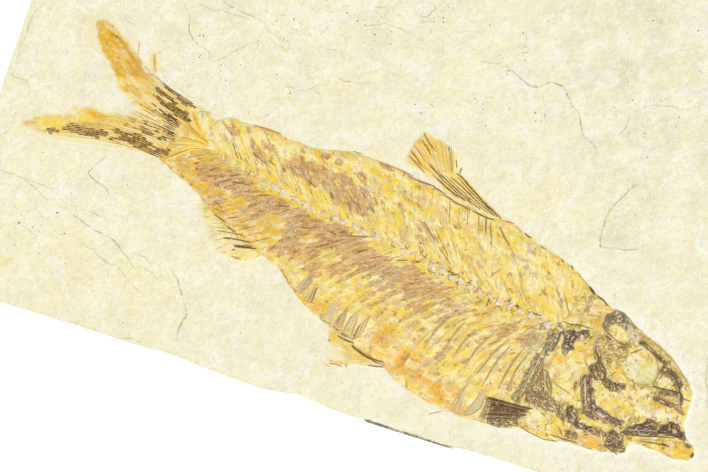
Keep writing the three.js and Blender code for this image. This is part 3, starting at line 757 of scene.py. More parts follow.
# Areas of the flanks, (s, t, half length, half height, weight) each: brown-mauve stains, places where
# the stains are missing, and golden, orange, pale and olive film.
STAINS = [
    (15.5, 3.6, 4.8, 1.8, 0.9), (23.2, 3.3, 5.4, 2.2, 0.9), (8.0, 3.4, 3.0, 1.5, 0.55),
    (2.6, 4.0, 1.4, 0.8, 0.4), (20.0, 4.9, 3.0, 0.9, 0.7), (23.5, 6.4, 1.8, 0.9, 0.5),
    (31.0, 7.4, 2.4, 0.9, 0.45), (29.5, 5.0, 1.2, 1.5, 0.4), (33.6, 4.0, 3.6, 0.8, 0.6),
    (37.5, 3.4, 2.0, 1.2, 0.45), (34.5, 2.2, 2.2, 0.7, 0.4), (25.6, 9.6, 1.4, 0.5, 0.9),
    (29.0, 9.9, 1.6, 0.4, 0.7), (17.0, 6.8, 0.9, 0.5, 0.6), (19.0, 6.9, 0.8, 0.6, 0.8),
    (36.4, 8.6, 1.0, 0.8, 0.3), (38.6, 6.6, 1.6, 0.6, 0.35), (47.2, 3.0, 0.5, 1.3, 0.5),
    (49.2, 3.6, 0.5, 1.0, 0.3), (43.0, 2.6, 0.7, 1.4, 0.25), (3.0, -3.5, 3.0, 1.5, 1.1),
    (7.0, -3.0, 3.4, 1.6, 1.05), (11.2, -4.6, 2.8, 2.2, 1.0), (13.6, -3.2, 2.6, 1.4, 0.9),
    (5.6, -6.4, 1.0, 1.2, 0.5), (18.0, -4.0, 3.2, 2.2, 1.0), (18.2, -7.2, 2.2, 2.2, 1.0),
    (16.8, -9.0, 1.8, 1.2, 0.7), (24.0, -3.4, 5.6, 2.2, 1.0), (29.5, -4.4, 6.2, 2.4, 1.0),
    (21.5, -6.6, 1.4, 2.2, 0.75), (31.0, -6.2, 3.6, 1.6, 0.6), (36.5, -4.6, 5.0, 2.8, 1.0),
    (41.5, -3.4, 5.0, 1.9, 0.75), (39.2, -7.0, 2.6, 1.8, 0.8), (43.5, -6.6, 2.4, 1.6, 0.45),
    (47.5, -3.0, 2.8, 1.2, 0.4), (52.8, -3.6, 1.8, 1.4, 0.7), (55.6, -4.2, 1.4, 1.0, 0.6),
    (57.4, -2.4, 2.4, 1.0, 0.35), (33.5, -8.0, 4.0, 2.6, 0.65), (27.0, -7.4, 3.0, 2.2, 0.7),
    (44.0, -5.0, 4.6, 2.4, 0.6), (22.4, -9.2, 2.0, 1.8, 0.5), (38.6, -9.4, 3.4, 1.6, 0.5),
    (50.0, -6.0, 3.4, 1.8, 0.4), (42.0, -11.4, 1.0, 1.8, 0.45), (46.6, -12.2, 1.6, 2.2, 0.6),
    (49.2, -11.4, 0.9, 2.0, 0.45), (37.6, -10.4, 0.8, 1.6, 0.4), (57.2, -11.8, 1.0, 1.4, 0.5),
    (54.6, -10.2, 0.7, 1.6, 0.4), (44.4, -14.6, 0.6, 1.8, 0.35), (41.2, -14.0, 0.6, 1.4, 0.3),
    (51.0, -9.0, 0.6, 1.4, 0.3), (55.5, -7.0, 0.5, 0.6, 0.5),
]
CLEARINGS = [
    (8.4, -5.2, 1.9, 1.1, 1.2), (14.4, -6.4, 2.4, 2.0, 1.2), (11.4, 4.8, 1.2, 1.8, 1.2),
    (15.8, 3.4, 0.9, 0.7, 0.9), (6.6, 5.0, 0.8, 0.6, 0.5), (29.5, 2.6, 1.4, 1.2, 0.6),
    (26.4, -1.2, 1.8, 0.7, 0.5), (33.5, -8.6, 9.0, 1.4, 0.5),
]
GOLDEN = [
    (25.5, 8.0, 5.0, 1.6, 0.9), (31.8, 8.4, 2.6, 1.3, 1.0), (18.5, 6.4, 4.5, 1.1, 0.6),
    (37.0, 7.0, 4.0, 1.4, 0.35), (25.0, -9.6, 8.0, 2.8, 0.75), (33.0, -9.2, 6.0, 1.6, 1.0),
    (38.0, -10.5, 6.0, 2.2, 0.6), (2.0, -5.2, 3.4, 1.0, 0.9), (-3.0, -5.0, 3.4, 0.9, 1.0),
    (15.0, -0.1, 10.0, 0.7, 0.7), (38.0, -1.7, 6.0, 0.6, 0.8), (47.0, -2.4, 5.0, 0.9, 0.7),
    (9.0, 0.3, 9.0, 0.6, 0.7), (57.0, 2.0, 5.0, 0.9, 0.5), (55.5, 8.4, 5.0, 0.7, 0.7),
    (50.0, -8.0, 9.0, 4.0, 0.3),
]
ORANGES = [
    (37.0, -13.6, 2.8, 2.8, 1.0), (42.5, -15.6, 4.2, 2.8, 1.0), (47.5, -16.4, 4.4, 2.2, 0.9),
    (25.6, -13.4, 2.8, 1.6, 0.75), (50.0, -17.6, 5.0, 1.2, 0.7), (29.0, -12.6, 1.4, 1.4, 0.5),
    (1.0, -5.8, 2.2, 0.5, 0.45), (0.6, -3.9, 1.0, 0.7, 0.3), (3.8, -4.1, 1.3, 0.8, 0.2),
    (57.5, -17.0, 3.5, 0.6, 0.7), (23.0, -14.3, 3.0, 0.5, 0.6), (9.4, 6.4, 1.2, 0.3, 0.6),
]
PALES = [
    (11.2, 4.8, 1.0, 1.9, 0.9), (5.4, 4.9, 2.4, 0.8, 0.4), (32.5, 5.5, 4.0, 0.7, 0.5),
    (0.2, 1.0, 1.8, 1.4, 0.9), (3.0, 2.6, 2.4, 1.2, 0.5), (-1.6, 0.3, 1.2, 1.3, 1.0),
    (36.0, 1.4, 4.0, 0.6, 0.4), (52.0, 5.6, 7.0, 2.6, 0.45), (44.0, 6.6, 4.0, 2.0, 0.35),
    (56.6, -4.4, 1.6, 1.2, 0.6), (58.2, -8.0, 1.3, 4.0, 0.6), (56.6, -12.6, 1.4, 1.6, 0.7),
    (28.6, -6.4, 1.0, 0.7, 0.6), (25.4, -5.9, 1.6, 0.6, 0.6), (44.6, -4.8, 2.2, 0.5, 0.5),
    (33.0, 9.0, 2.5, 0.5, 0.3), (54.0, -8.8, 1.0, 3.0, 0.4), (51.4, -12.0, 1.2, 2.6, 0.35),
    (13.0, -7.2, 2.0, 1.0, 0.2),
]
OLIVES = [
    (14.4, -7.0, 2.8, 1.6, 0.8), (5.4, -0.6, 4.6, 0.8, 0.9), (-1.0, -1.6, 3.0, 0.8, 0.5),
    (9.4, -8.6, 2.6, 1.0, 0.5), (31.8, -1.2, 1.4, 0.5, 1.0), (20.8, -0.8, 0.9, 0.4, 1.0),
    (8.6, 0.2, 1.2, 0.4, 0.8),
]


def flank_colours():
    """The film's own colour, and how strongly it is stained."""
    s, t = S, T
    broad = fractal(RIB / 2.4, DEPTH / 3.2, 51, 4)
    ragged = fractal(RIB / 0.7, DEPTH / 1.5, 52, 4)
    colour = np.broadcast_to(YELLOW, s.shape + (3,))
    colour = mix(colour, GOLD, smooth(0.42, 0.72, broad) * 0.8)
    colour = mix(colour, CREAM, smooth(0.46, 0.25, broad) * 0.55)
    colour = mix(colour, GOLD, np.clip(patches(s, t, GOLDEN) * (0.55 + 0.9 * ragged), 0, 1))
    colour = mix(colour, OLIVE, np.clip(patches(s, t, OLIVES) * (0.4 + ragged), 0, 1))
    colour = mix(colour, CREAM, np.clip(patches(s, t, PALES) * (0.4 + 1.1 * ragged), 0, 1))
    colour = mix(colour, DEEP_GOLD,
                 0.55 * smooth(0.4, -1.0, DEPTH) * smooth(30, 20, s) * smooth(-11, -6, DEPTH))
    colour = mix(colour, REAR_GOLD, 0.8 * smooth(18, 8, s) * smooth(-0.6, -1.6, DEPTH))
    colour = mix(colour, ORANGE, np.clip(patches(s, t, ORANGES) * (0.5 + 1.0 * broad), 0, 1))
    rim = smooth(0.9, 0.1, BODY_DEPTH) * smooth(0.35, 0.7, fractal(s / 1.3, t / 1.3, 55)) * smooth(64, 60, s)
    colour = mix(colour, ORANGE, rim * 0.5)
    # Stains end below in slanting teeth, one to each rib.
    teeth = np.sin(2 * np.pi * RIB / VERTEBRA_STEP) * smooth(-3.5, -6.0, DEPTH) * smooth(-12, -8, DEPTH)
    stain = 1.25 * patches(s, t, STAINS) - 1.2 * patches(s, t, CLEARINGS)
    fore = smooth(22, 32, s)
    stain = stain - 0.26 * fore * (stain > 0.3)
    stain = stain + (0.30 + 0.26 * fore) * teeth * (stain > 0.05)
    stain = stain + 1.5 * (fractal(RIB / 1.3, DEPTH / 2.4, 57, 4) - 0.5) * (stain > 0.02)
    stain = stain + 0.7 * (fractal(RIB / 0.45, DEPTH / 1.5, 58, 3) - 0.5) * (stain > 0.02)
    return colour, np.clip(stain, -0.4, 1.0) * smooth(61, 58, s)


# Bones and stained patches of the head:
# (outline, colour, softness, rise, strength, how wiry the bone is, direction of its threads in degrees).
HEAD_PATCHES = [
    # opercle and subopercle: warm plates behind the cheek
    ([(60.6, -2.6), (64.6, -0.4), (66.6, -2.0), (66.2, -5), (66.6, -9), (63.6, -9.4), (61.2, -6.6)], YELLOW,
     0.8, 0.10, 0.8, 0, 0),
    ([(60.6, -3.6), (62.8, -3.4), (63.0, -5.0), (60.8, -5.2)], GOLD, 0.9, 0.02, 0.9, 0, 0),
    ([(60.9, -4.0), (62.6, -3.8), (62.6, -4.9), (61.2, -4.9)], ORANGE, 0.7, 0.02, 0.7, 0, 0),
    ([(64.3, 0.3), (65.8, 0.3), (66.4, -1.4), (65.8, -2.8), (64.4, -2.0), (63.8, -0.8)], DEEP_GOLD, 0.7,
     0.04, 0.85, 0, 0),
    ([(62.9, -0.6), (64.4, -0.9), (64.4, -3.0), (63.2, -3.4)], GOLD, 0.7, 0.02, 0.85, 0, 0),
    ([(64.0, -3.6), (65.2, -3.6), (65.4, -5.4), (64.2, -5.4)], STONE_PALE, 0.9, 0.0, 0.6, 0, 0),
    ([(64.8, -5.0), (66.0, -5.0), (66.0, -6.8), (64.8, -6.4)], ORANGE, 0.7, 0.02, 0.6, 0, 0),
    ([(62.4, -8.0), (64.0, -8.4), (65.8, -8.4), (65.6, -9.4), (63.2, -9.6)], CREAM, 0.6, 0.02, 0.9, 0, 0),
    ([(61.5, -8.0), (62.5, -8.2), (62.8, -9.4), (61.9, -9.5)], DEEP_GOLD, 0.4, 0.04, 0.7, 0, 0),
    ([(56.2, -2.4), (58.2, -2.4), (58.8, -3.6), (58.2, -4.8), (56.4, -4.6)], GREY_PALE, 0.8, 0.05, 0.75,
     0.25, 60),
    ([(58.6, -0.8), (60.6, -0.2), (60.6, -3.4), (60.0, -5.0), (58.8, -3.4)], GREY, 0.5, 0.08, 0.7, 0.6, 100),
    ([(58.6, -5.0), (60.0, -5.2), (61.6, -9.6), (60.2, -10.0), (59.4, -12.8), (58.2, -12.8), (58.4, -9.0)],
     MAUVE_PALE, 0.5, 0.12, 0.8, 0.6, 95),
    ([(60.4, -6.6), (61.4, -7.2), (63.0, -9.8), (61.8, -9.9), (60.9, -8.4)], MAUVE, 0.4, 0.14, 0.8, 0.7, 118),
    # golden band of the nape and the patch above it
    ([(60.0, 1.6), (61.6, 1.9), (63.8, 2.5), (65.3, 3.6), (65.4, 4.5), (63.6, 3.7), (61.6, 3.0),
      (60.0, 2.4)], DEEP_GOLD, 0.5, 0.08, 0.95, 0, 0),
    ([(62.4, 5.2), (63.0, 6.0), (64.6, 6.1), (65.6, 6.0), (65.4, 4.9), (63.4, 4.7)], ORANGE, 0.5, 0.05, 0.9,
     0, 0),
    ([(61.4, 6.6), (62.6, 6.3), (62.6, 5.4), (62.5, 4.0), (62.2, 4.0), (61.9, 5.4)], MAUVE, 0.3, 0.07, 0.9,
     0.3, 100),
    # skull roof
    ([(65.2, 4.9), (66.2, 6.2), (68.2, 6.0), (70.3, 5.0), (69.0, 4.2), (67.0, 4.4), (66.4, 3.0),
      (65.4, 2.8)], GREY, 0.4, 0.14, 0.95, 0.65, 20),
    ([(66.6, 3.9), (68.4, 3.9), (70.2, 3.2), (69.4, 2.5), (66.8, 2.8)], YELLOW, 0.5, 0.06, 0.95, 0, 0),
    ([(68.4, 5.3), (69.4, 5.2), (70.7, 4.6), (72.1, 3.6), (71.3, 2.6), (70.3, 2.7), (69.4, 3.8)],
     SKULL_WHITE, 0.22, 0.20, 1.0, 0.14, -35),
    ([(69.0, 1.9), (70.3, 2.0), (70.0, 0.9), (69.1, 0.8)], MAUVE_DARK, 0.4, 0.10, 0.9, 0.5, 40),
    ([(66.4, 2.2), (67.6, 2.1), (67.6, 1.4), (66.6, 1.4)], BROWN, 0.4, 0.08, 0.8, 0.4, 0),
    ([(65.2, 2.2), (69.0, 1.9), (70.8, 1.2), (70.9, -0.8), (70.0, -2.0), (67.0, -1.6), (65.6, -0.2)],
     TEMPLE, 0.7, 0.05, 0.7, 0.42, 40),
    ([(65.8, 0.2), (66.6, 0.0), (67.6, -1.6), (66.9, -2.0), (66.0, -0.9)], MAUVE, 0.4, 0.08, 0.8, 0.6, 120),
    # forehead
    ([(70.8, 4.9), (73.0, 4.7), (75.2, 4.3), (77.4, 3.4), (79.6, 2.2), (81.6, 0.6), (80.4, 0.8),
      (78.0, 2.2), (75.2, 3.1), (72.0, 3.5)], FOREHEAD, 0.35, 0.10, 0.9, 0.3, -22),
    ([(71.6, 3.9), (73.4, 3.6), (75.4, 3.0), (76.8, 2.6), (76.4, 2.1), (74.6, 2.6), (72.6, 3.1),
      (71.6, 3.3)], BROWN, 0.25, 0.10, 0.85, 0.6, -20),
    ([(76.1, 1.0), (76.3, 2.2), (77.7, 2.1), (79.2, 1.4), (80.0, 0.8), (80.3, 0.0), (79.7, -0.5),
      (79.0, 0.3), (78.2, 0.7), (77.0, 0.8)], MAUVE_DARK, 0.3, 0.18, 1.0, 0.8, -30),
    ([(76.8, 0.5), (78.4, 0.3), (79.0, -0.5), (77.4, -1.1), (76.7, -0.5)], CREAM, 0.35, -0.04, 0.95, 0, 0),
    # eye socket
    ([(71.0, -1.0), (70.9, 0.6), (71.9, 1.9), (73.4, 2.5), (75.0, 2.2), (76.1, 1.0), (76.3, -0.4),
      (75.7, -1.6), (74.2, -2.1), (72.4, -1.9)], SOCKET, 0.4, -0.14, 1.0, 0, 0),
    ([(71.4, 2.0), (72.4, 2.9), (74.3, 2.7), (74.4, 1.9), (72.8, 1.6)], ORANGE, 0.4, 0.02, 0.8, 0, 0),
    # cheek
    ([(66.4, -3.2), (67.3, -1.7), (68.6, -2.3), (69.6, -3.5), (70.8, -3.7), (72.6, -3.0), (72.8, -3.8),
      (71.3, -5.0), (69.8, -4.7), (69.0, -4.0), (68.4, -4.7), (67.3, -4.5), (66.8, -3.9)], MAUVE_DARK, 0.35,
      0.18, 0.95, 0.85, -40),
    ([(69.0, -0.4), (71.0, -1.4), (73.0, -2.3), (73.4, -3.0), (70.8, -3.2), (69.2, -2.2)], GOLD, 0.5, 0.05,
     0.8, 0.1, 0),
    ([(66.2, -4.8), (67.5, -4.5), (68.4, -5.8), (69.3, -7.1), (70.0, -8.1), (71.2, -7.9), (72.4, -8.3),
      (74.7, -8.2), (75.0, -9.3), (73.2, -9.5), (71.3, -9.7), (69.5, -10.0), (68.5, -9.1), (67.5, -7.6),
      (66.7, -6.2)], CHEEK_BAR, 0.3, 0.26, 1.0, 0.9, -58),
    # A painted highlight on the cheek bar.
    ([(70.6, -8.3), (71.6, -8.2), (71.9, -9.0), (70.8, -9.4)], CHEEK_HIGHLIGHT, 0.3, 0.06, 0.9, 0.45, -20),
    ([(65.7, -5.9), (66.3, -5.9), (66.3, -7.5), (65.8, -7.3)], MAUVE, 0.3, 0.06, 0.9, 0.5, 90),
    ([(69.6, -6.0), (71.6, -5.6), (74.2, -5.0), (75.4, -6.6), (74.6, -8.0), (71.2, -7.8), (70.2, -7.4)],
     GOLD, 0.6, 0.05, 0.75, 0, 0),
    ([(72.6, -7.0), (73.4, -6.2), (74.8, -6.1), (75.4, -7.0), (74.6, -8.0), (73.2, -7.9)], CHEEK_GOLD, 0.25,
     0.14, 1.0, 0, 0),
    ([(75.0, -5.0), (76.4, -3.9), (78.0, -4.2), (80.6, -4.2), (80.8, -5.0), (79.0, -5.8), (76.0, -6.6)],
     STONE_PALE, 0.8, 0.0, 0.85, 0, 0),
    ([(74.4, -2.6), (77.0, -2.6), (76.8, -3.5), (74.6, -4.2)], CREAM, 0.5, 0.0, 0.8, 0, 0),
    ([(77.4, -1.5), (79.7, -0.6), (80.0, -1.2), (77.8, -2.5)], BROWN, 0.3, 0.10, 0.85, 0.5, 25),
    ([(77.3, -3.2), (80.2, -3.1), (80.4, -3.6), (78.6, -4.1), (77.4, -3.9)], DEEP_GOLD, 0.3, 0.05, 0.95, 0,
     0),
    ([(77.1, -3.1), (78.2, -2.5), (79.4, -2.7), (80.6, -2.3), (82.6, -2.9), (82.5, -3.4), (80.8, -2.9),
      (79.2, -3.2), (77.8, -3.3)], SNOUT, 0.25, 0.16, 0.95, 0.7, -8),
    ([(79.8, -0.5), (81.0, -0.8), (81.7, -2.0), (81.0, -2.3), (80.6, -1.5), (79.8, -1.1)], SNOUT_GREY, 0.25,
     0.14, 0.9, 0.5, -60),
    # jaws
    ([(75.3, -9.9), (75.5, -9.0), (76.5, -7.8), (77.5, -7.3), (77.8, -6.2), (79.0, -5.9), (79.9, -6.3),
      (79.8, -7.2), (80.6, -7.6), (79.1, -8.3), (77.6, -9.0), (76.4, -9.5)], JAW, 0.3, 0.26, 1.0, 0.8, 28),
    ([(80.1, -7.5), (80.4, -6.0), (81.2, -4.9), (82.2, -4.8), (83.2, -5.4), (84.5, -6.0), (84.2, -6.6),
      (82.8, -6.6), (81.4, -7.2)], DARK_GREY, 0.22, 0.26, 0.95, 0.9, 60),
    ([(81.5, -5.9), (82.2, -5.5), (82.6, -6.0), (82.0, -6.4)], JAW_HOLLOW, 0.2, -0.08, 0.8, 0, 0),
    ([(82.1, -1.4), (82.7, -2.2), (83.0, -3.6), (83.1, -4.7), (82.5, -4.9), (82.2, -3.8)], GOLD, 0.35, 0.10,
     0.95, 0, 0),
    ([(76.8, -10.2), (79.0, -9.0), (81.0, -8.1), (83.6, -7.1), (85.3, -6.8), (86.5, -7.2), (86.5, -8.3),
      (84.6, -9.4), (82.4, -9.8), (79.6, -10.0)], GOLD, 0.3, 0.20, 1.0, 0.05, 15),
    ([(83.2, -7.4), (85.4, -6.9), (86.0, -7.8), (84.8, -8.6), (83.2, -8.2)], ORANGE, 0.4, 0.05, 0.8, 0, 0),
    ([(84.3, -6.9), (85.6, -6.7), (85.5, -7.2), (84.6, -7.3)], BROWN, 0.25, 0.08, 0.8, 0.4, 0),
    ([(73.9, -9.9), (75.4, -10.2), (76.4, -11.2), (77.3, -12.0), (76.6, -12.6), (75.0, -12.6),
      (73.9, -12.9), (73.7, -11.6)], JAW_HINGE, 0.4, 0.18, 0.9, 0.9, 5),
    ([(76.4, -10.5), (77.5, -10.6), (77.4, -11.9), (76.8, -11.6)], GOLD, 0.3, 0.08, 0.8, 0, 0),
    # throat
    ([(66.3, -9.8), (66.8, -9.5), (67.8, -9.8), (68.1, -10.6), (68.9, -11.2), (70.2, -11.2), (71.6, -10.8),
      (73.9, -10.7), (73.4, -11.5), (71.6, -11.9), (70.0, -12.1), (68.2, -12.2), (67.0, -11.7),
      (66.4, -10.9)], THROAT_BROWN, 0.3, 0.24, 1.0, 0.6, -10),
    ([(71.2, -11.0), (73.3, -11.0), (73.0, -11.7), (71.2, -11.9)], THROAT_RED, 0.3, 0.03, 0.9, 0.3, -10),
    ([(68.1, -9.8), (69.6, -10.1), (71.5, -10.2), (73.4, -10.2), (73.3, -10.7), (71.2, -10.8),
      (69.8, -11.0), (68.6, -10.7)], GOLD, 0.25, 0.08, 0.95, 0, 0),
    ([(65.0, -12.0), (67.2, -12.3), (68.0, -13.4), (67.4, -14.4), (65.8, -14.4), (65.0, -13.2)],
     THROAT_GOLD, 0.5, 0.06, 0.95, 0, 0),
    ([(67.6, -13.0), (69.6, -12.7), (69.8, -13.7), (68.0, -13.9)], BROWN, 0.4, 0.08, 0.85, 0.4, 10),
    ([(70.0, -12.6), (71.6, -12.4), (73.4, -12.3), (73.6, -13.2), (71.8, -14.0), (70.0, -14.0)], ORANGE,
     0.45, 0.08, 0.9, 0, 0),
    ([(61.4, -12.4), (64.8, -12.2), (64.8, -15.0), (62.4, -15.6), (61.2, -14.6)], CREAM, 0.7, 0.02, 0.8,
     0.1, 60),
    ([(61.0, -15.0), (64.6, -15.2), (66.0, -15.6), (62.4, -16.2)], GOLD, 0.5, 0.02, 0.8, 0, 0),
    ([(59.8, -9.8), (61.8, -10.0), (63.6, -9.9), (66.4, -10.8), (66.8, -12.2), (64.8, -11.6), (63.0, -12.0),
      (61.4, -12.2), (60.2, -12.6)], MAUVE_PALE, 0.6, 0.10, 0.8, 0.7, -15),
    # dark supracleithrum blotch behind the skull
    ([(60.9, 0.2), (61.6, 0.7), (62.5, 0.8), (63.2, 1.4), (63.9, 1.6), (64.3, 0.9), (64.0, 0.2),
      (63.3, -0.3), (62.8, -0.4), (62.6, -1.4), (63.4, -1.9), (62.7, -2.4), (62.5, -3.9), (62.1, -3.2),
      (61.5, -2.6), (61.2, -1.5), (60.9, -0.6)], BLOTCH, 0.18, 0.16, 1.0, 0.55, 80),
    ([(63.0, 0.5), (63.8, 0.6), (64.0, -0.1), (63.2, -0.3)], GREY_PALE, 0.2, 0.06, 0.9, 0.2, 0),
    # pectoral fin, folded and dark
    ([(54.8, -14.3), (57.2, -13.9), (60.2, -13.2), (61.6, -12.7), (60.9, -13.9), (60.5, -15.0),
      (60.9, -15.9), (59.4, -17.3), (57.6, -18.0), (56.6, -17.2), (55.4, -17.6), (55.3, -15.6)],
      PECTORAL_TAN, 0.3, 0.18, 0.9, 0.55, 14),
    ([(55.6, -14.2), (60.6, -13.4), (60.2, -14.8), (57.0, -15.6)], PECTORAL_DARK, 0.3, 0.04, 0.85, 0.5, 8),
]


def head_colours(colour, height):
    """Lay the head's patches over the colours and the relief; their edges are a little ragged."""
    flow = flow_field(RIB, DEPTH)
    wobble = 0.34 * (fractal(S / 0.5, T / 0.5, 61, 3) - 0.5) * 2
    body = fractal(S / 0.9, T / 0.9, 62, 4)
    fine = fractal(S / 0.3, T / 0.3, 63, 3)
    cheek = smooth(57.5, 61.5, S + 0.2 * (body - 0.5) - 0.25 * np.clip(DEPTH, -9, 3))
    flow = np.where((cheek > 0.5)[..., None], flow_field(1.3 * S, 1.3 * T), flow)
    base = mix(np.broadcast_to(YELLOW, S.shape + (3,)), CREAM, smooth(0.5, 0.3, body))
    base = mix(base, GOLD, smooth(0.52, 0.7, body) * 0.9)
    base = mix(base, MAUVE, smooth(0.60, 0.72, fine) * 0.55)
    colour = mix(colour, base, cheek)
    wiry = 0.42 * cheek * smooth(0.45, 0.60, body) * smooth(83, 80, S)
    for outline, patch_colour, softness, rise, strength, bony, direction in HEAD_PATCHES:
        low, high = np.min(outline, 0) - 1.2, np.max(outline, 0) + 1.2
        i0, i1 = np.searchsorted(S_AXIS, [low[0], high[0]])
        j0, j1 = np.searchsorted(T_AXIS, [low[1], high[1]])
        area = (slice(i0, i1), slice(j0, j1))
        d = depth_in(S[area], T[area], outline) + wobble[area]
        weight = smooth(-softness * 0.5, softness * 0.5, d)
        shade = (0.90 + 0.22 * fine[area])[..., None]
        broken = strength * (0.55 + 0.45 * smooth(0.30, 0.50, body[area] * 0.5 + fine[area] * 0.5))
        colour[area] = mix(colour[area], patch_colour * shade, weight * broken)
        height[area] += rise * smooth(-0.15, 0.45, d) * (0.85 + 0.3 * fine[area])
        wiry[area] = wiry[area] * (1 - weight) + bony * weight
        turn = math.radians(direction)
        across = -S[area] * math.sin(turn) + T[area] * math.cos(turn)
        along = S[area] * math.cos(turn) + T[area] * math.sin(turn)
        threads = (weight > 0.5)[..., None] & (bony > 0)
        flow[area] = np.where(threads, flow_field(across, along), flow[area])
    return colour, height, wiry, flow


def fin_regions():
    """Depth inside each fin's outline, keyed by node."""
    frayed = 0.35 * (fractal(S / 0.9, T / 0.5, 71, 3) - 0.5) * 2
    outlines = {"tail_fin_upper_lobe": (TAIL_UPPER, 1.0), "tail_fin_lower_lobe": (TAIL_LOWER, 1.0),
                "dorsal_fin": (DORSAL, 0.5), "anal_fin": (ANAL, 0.5), "pelvic_fin": (PELVIC, 0.5)}
    return {node: depth_in(S, T, outline) + fray * frayed for node, (outline, fray) in outlines.items()}


RAY_LENGTH = 14.0


def ray_coordinates(origin_s, origin_t, turn):
    """(angle across the rays, scaled by their usual length, distance out along them)."""
    out = np.hypot(S - origin_s, T - origin_t)
    angle = np.arctan2(T - origin_t, S - origin_s) - turn
    angle = (angle + np.pi) % (2 * np.pi) - np.pi
    return angle * RAY_LENGTH, out


def fin_colours(regions):
    """Colour and how well the film covers the stone, for the fins."""
    colour = np.broadcast_to(YELLOW, S.shape + (3,)).copy()
    cover = np.zeros(S.shape)
    flow = flow_field(RIB, DEPTH)
    broad = fractal(S / 1.8, T / 1.8, 81, 3)
    # Where the rays spring from, their direction, the softness of the edge, layers of colour, bare places.
    settings = {
        "tail_fin_upper_lobe": (4.0, 1.0, math.pi, 0.4, [
            (GOLD, [(-9.0, 3.0, 6.5, 2.6, 1.2), (-14.0, 4.4, 5.0, 2.6, 1.3), (-19.0, 7.4, 5.0, 3.4, 1.3)]),
            (AMBER, [(-18.8, 6.8, 5.6, 4.0, 4.0), (-14.6, 5.8, 4.0, 1.5, 1.4), (-13.4, 2.3, 2.2, 0.9, 1.6)]),
        ], [(-20.8, 4.4, 1.6, 0.7, 0.5), (-16.4, 2.0, 2.4, 0.8, 0.7)]),
        "tail_fin_lower_lobe": (4.0, -0.6, math.pi, 0.6, [
            (GOLD, [(-16.0, -4.2, 4.8, 1.9, 1.5), (-21.0, -7.0, 4.8, 2.2, 1.3), (-8.0, -3.6, 6.0, 2.0, 0.9)]),
            (AMBER, [(-24.4, -9.3, 2.6, 0.9, 1.5), (-16.6, -3.4, 2.2, 0.7, 0.8),
                     (-10.0, -5.6, 4.0, 0.4, 0.9)]),
        ], [(-20.4, -4.6, 1.6, 0.7, 0.9), (-14.0, -1.2, 3.0, 0.7, 0.6)]),
        "dorsal_fin": (52.0, 8.6, math.radians(160), 0.5, [
            (GOLD, [(30.0, 14.4, 3.6, 3.4, 0.9), (36.0, 12.2, 5.0, 1.4, 0.6)]),
            (ORANGE, [(30.4, 16.2, 2.2, 0.9, 0.6), (28.4, 13.4, 0.9, 2.2, 0.6)]),
        ], [(32.4, 13.2, 1.8, 0.8, 0.9), (34.4, 12.6, 1.6, 0.6, 0.6), (33.8, 11.0, 2.4, 0.5, 0.7)]),
        "anal_fin": (16.0, -6.4, math.radians(205), 0.7, [
            (CREAM, [(9.0, -11.0, 6.0, 3.0, 0.7)]), (OLIVE, [(9.0, -9.0, 4.0, 1.2, 0.5)]),
            (GOLD, [(12.6, -12.4, 2.6, 1.0, 0.5)]),
        ], [(8.8, -12.4, 2.2, 0.9, 0.5), (5.6, -10.4, 1.2, 1.4, 0.3)]),
        "pelvic_fin": (41.0, -17.0, math.radians(195), 0.8, [
            (PELVIC_GOLD, [(34.6, -18.2, 4.6, 2.2, 1.0), (30.4, -16.6, 2.4, 1.2, 0.8)]),
            (ORANGE, [(30.0, -16.8, 0.9, 0.5, 0.6), (32.2, -20.7, 1.3, 0.4, 0.8)]),
        ], [(32.0, -18.9, 2.4, 1.3, 0.9), (29.2, -17.6, 1.2, 0.8, 0.6)]),
    }
    for node, (origin_s, origin_t, turn, softness, layers, bare) in settings.items():
        across, out = ray_coordinates(origin_s, origin_t, turn)
        streak = fractal(across / 0.45, out / 3.0, 82, 3)
        own = np.broadcast_to(YELLOW, S.shape + (3,))
        for layer_colour, spots in layers:
            own = mix(own, layer_colour, np.clip(patches(S, T, spots) * (0.45 + 1.1 * streak), 0, 1))
        own = mix(own, CREAM, smooth(0.48, 0.28, streak) * 0.5)
        own = mix(own, MAUVE, smooth(0.66, 0.78, streak) * 0.4)
        holes = patches(S, T, bare)
        shown = (smooth(0.0, softness, regions[node])
                 * np.clip(1.25 - holes * (0.7 + 0.9 * (1 - streak)), 0, 1))
        amber_spots = [spot for tone, spots in layers if tone is AMBER for spot in spots]
        dense = np.clip(patches(S, T, amber_spots), 0, 1)
        shown = shown * (0.72 + 0.28 * np.maximum(dense, smooth(0.25, 0.5, streak * 0.6 + broad * 0.4)))
        use = (regions[node] > -0.6) & (shown >= cover)
        colour[use] = own[use]
        cover[use] = shown[use]
        flow[use] = flow_field(across, out * 0.5)[use]
    return colour, np.clip(cover, 0, 1), flow


# All fields together: the fish laid over the stone's own colour and relief.
REGIONS = fin_regions()
halo_depth = np.maximum.reduce([depth_in(S, T, outline) for outline in HALOS]) + 0.2 * edge_noise
X_PART, Y_PART = fish_to_part(S, T)
X_SLAB, Y_SLAB = part_to_slab(X_PART, Y_PART)
GROUND = stone_height(X_SLAB, Y_SLAB)
GROOVE = head_groove(S, T, BODY_DEPTH)

body_colour, body_stain = flank_colours()
rise = 0.32 * (1 - np.exp(-np.clip(BODY_DEPTH, 0, None) / 1.1))
ridges = 0.035 * np.sin(2 * np.pi * RIB / VERTEBRA_STEP) * smooth(0.5, 3.0, BODY_DEPTH)
ridges = ridges * smooth(61, 56, S) * smooth(1.2, 2.4, np.abs(DEPTH))
rise = rise + ridges + 0.05 * (fractal(RIB / 0.6, DEPTH / 1.8, 91, 3) - 0.5) * smooth(0, 1, BODY_DEPTH)
body_colour, rise, WIRY, body_flow = head_colours(body_colour, rise)
fin_colour, fin_cover, fin_flow = fin_colours(REGIONS)

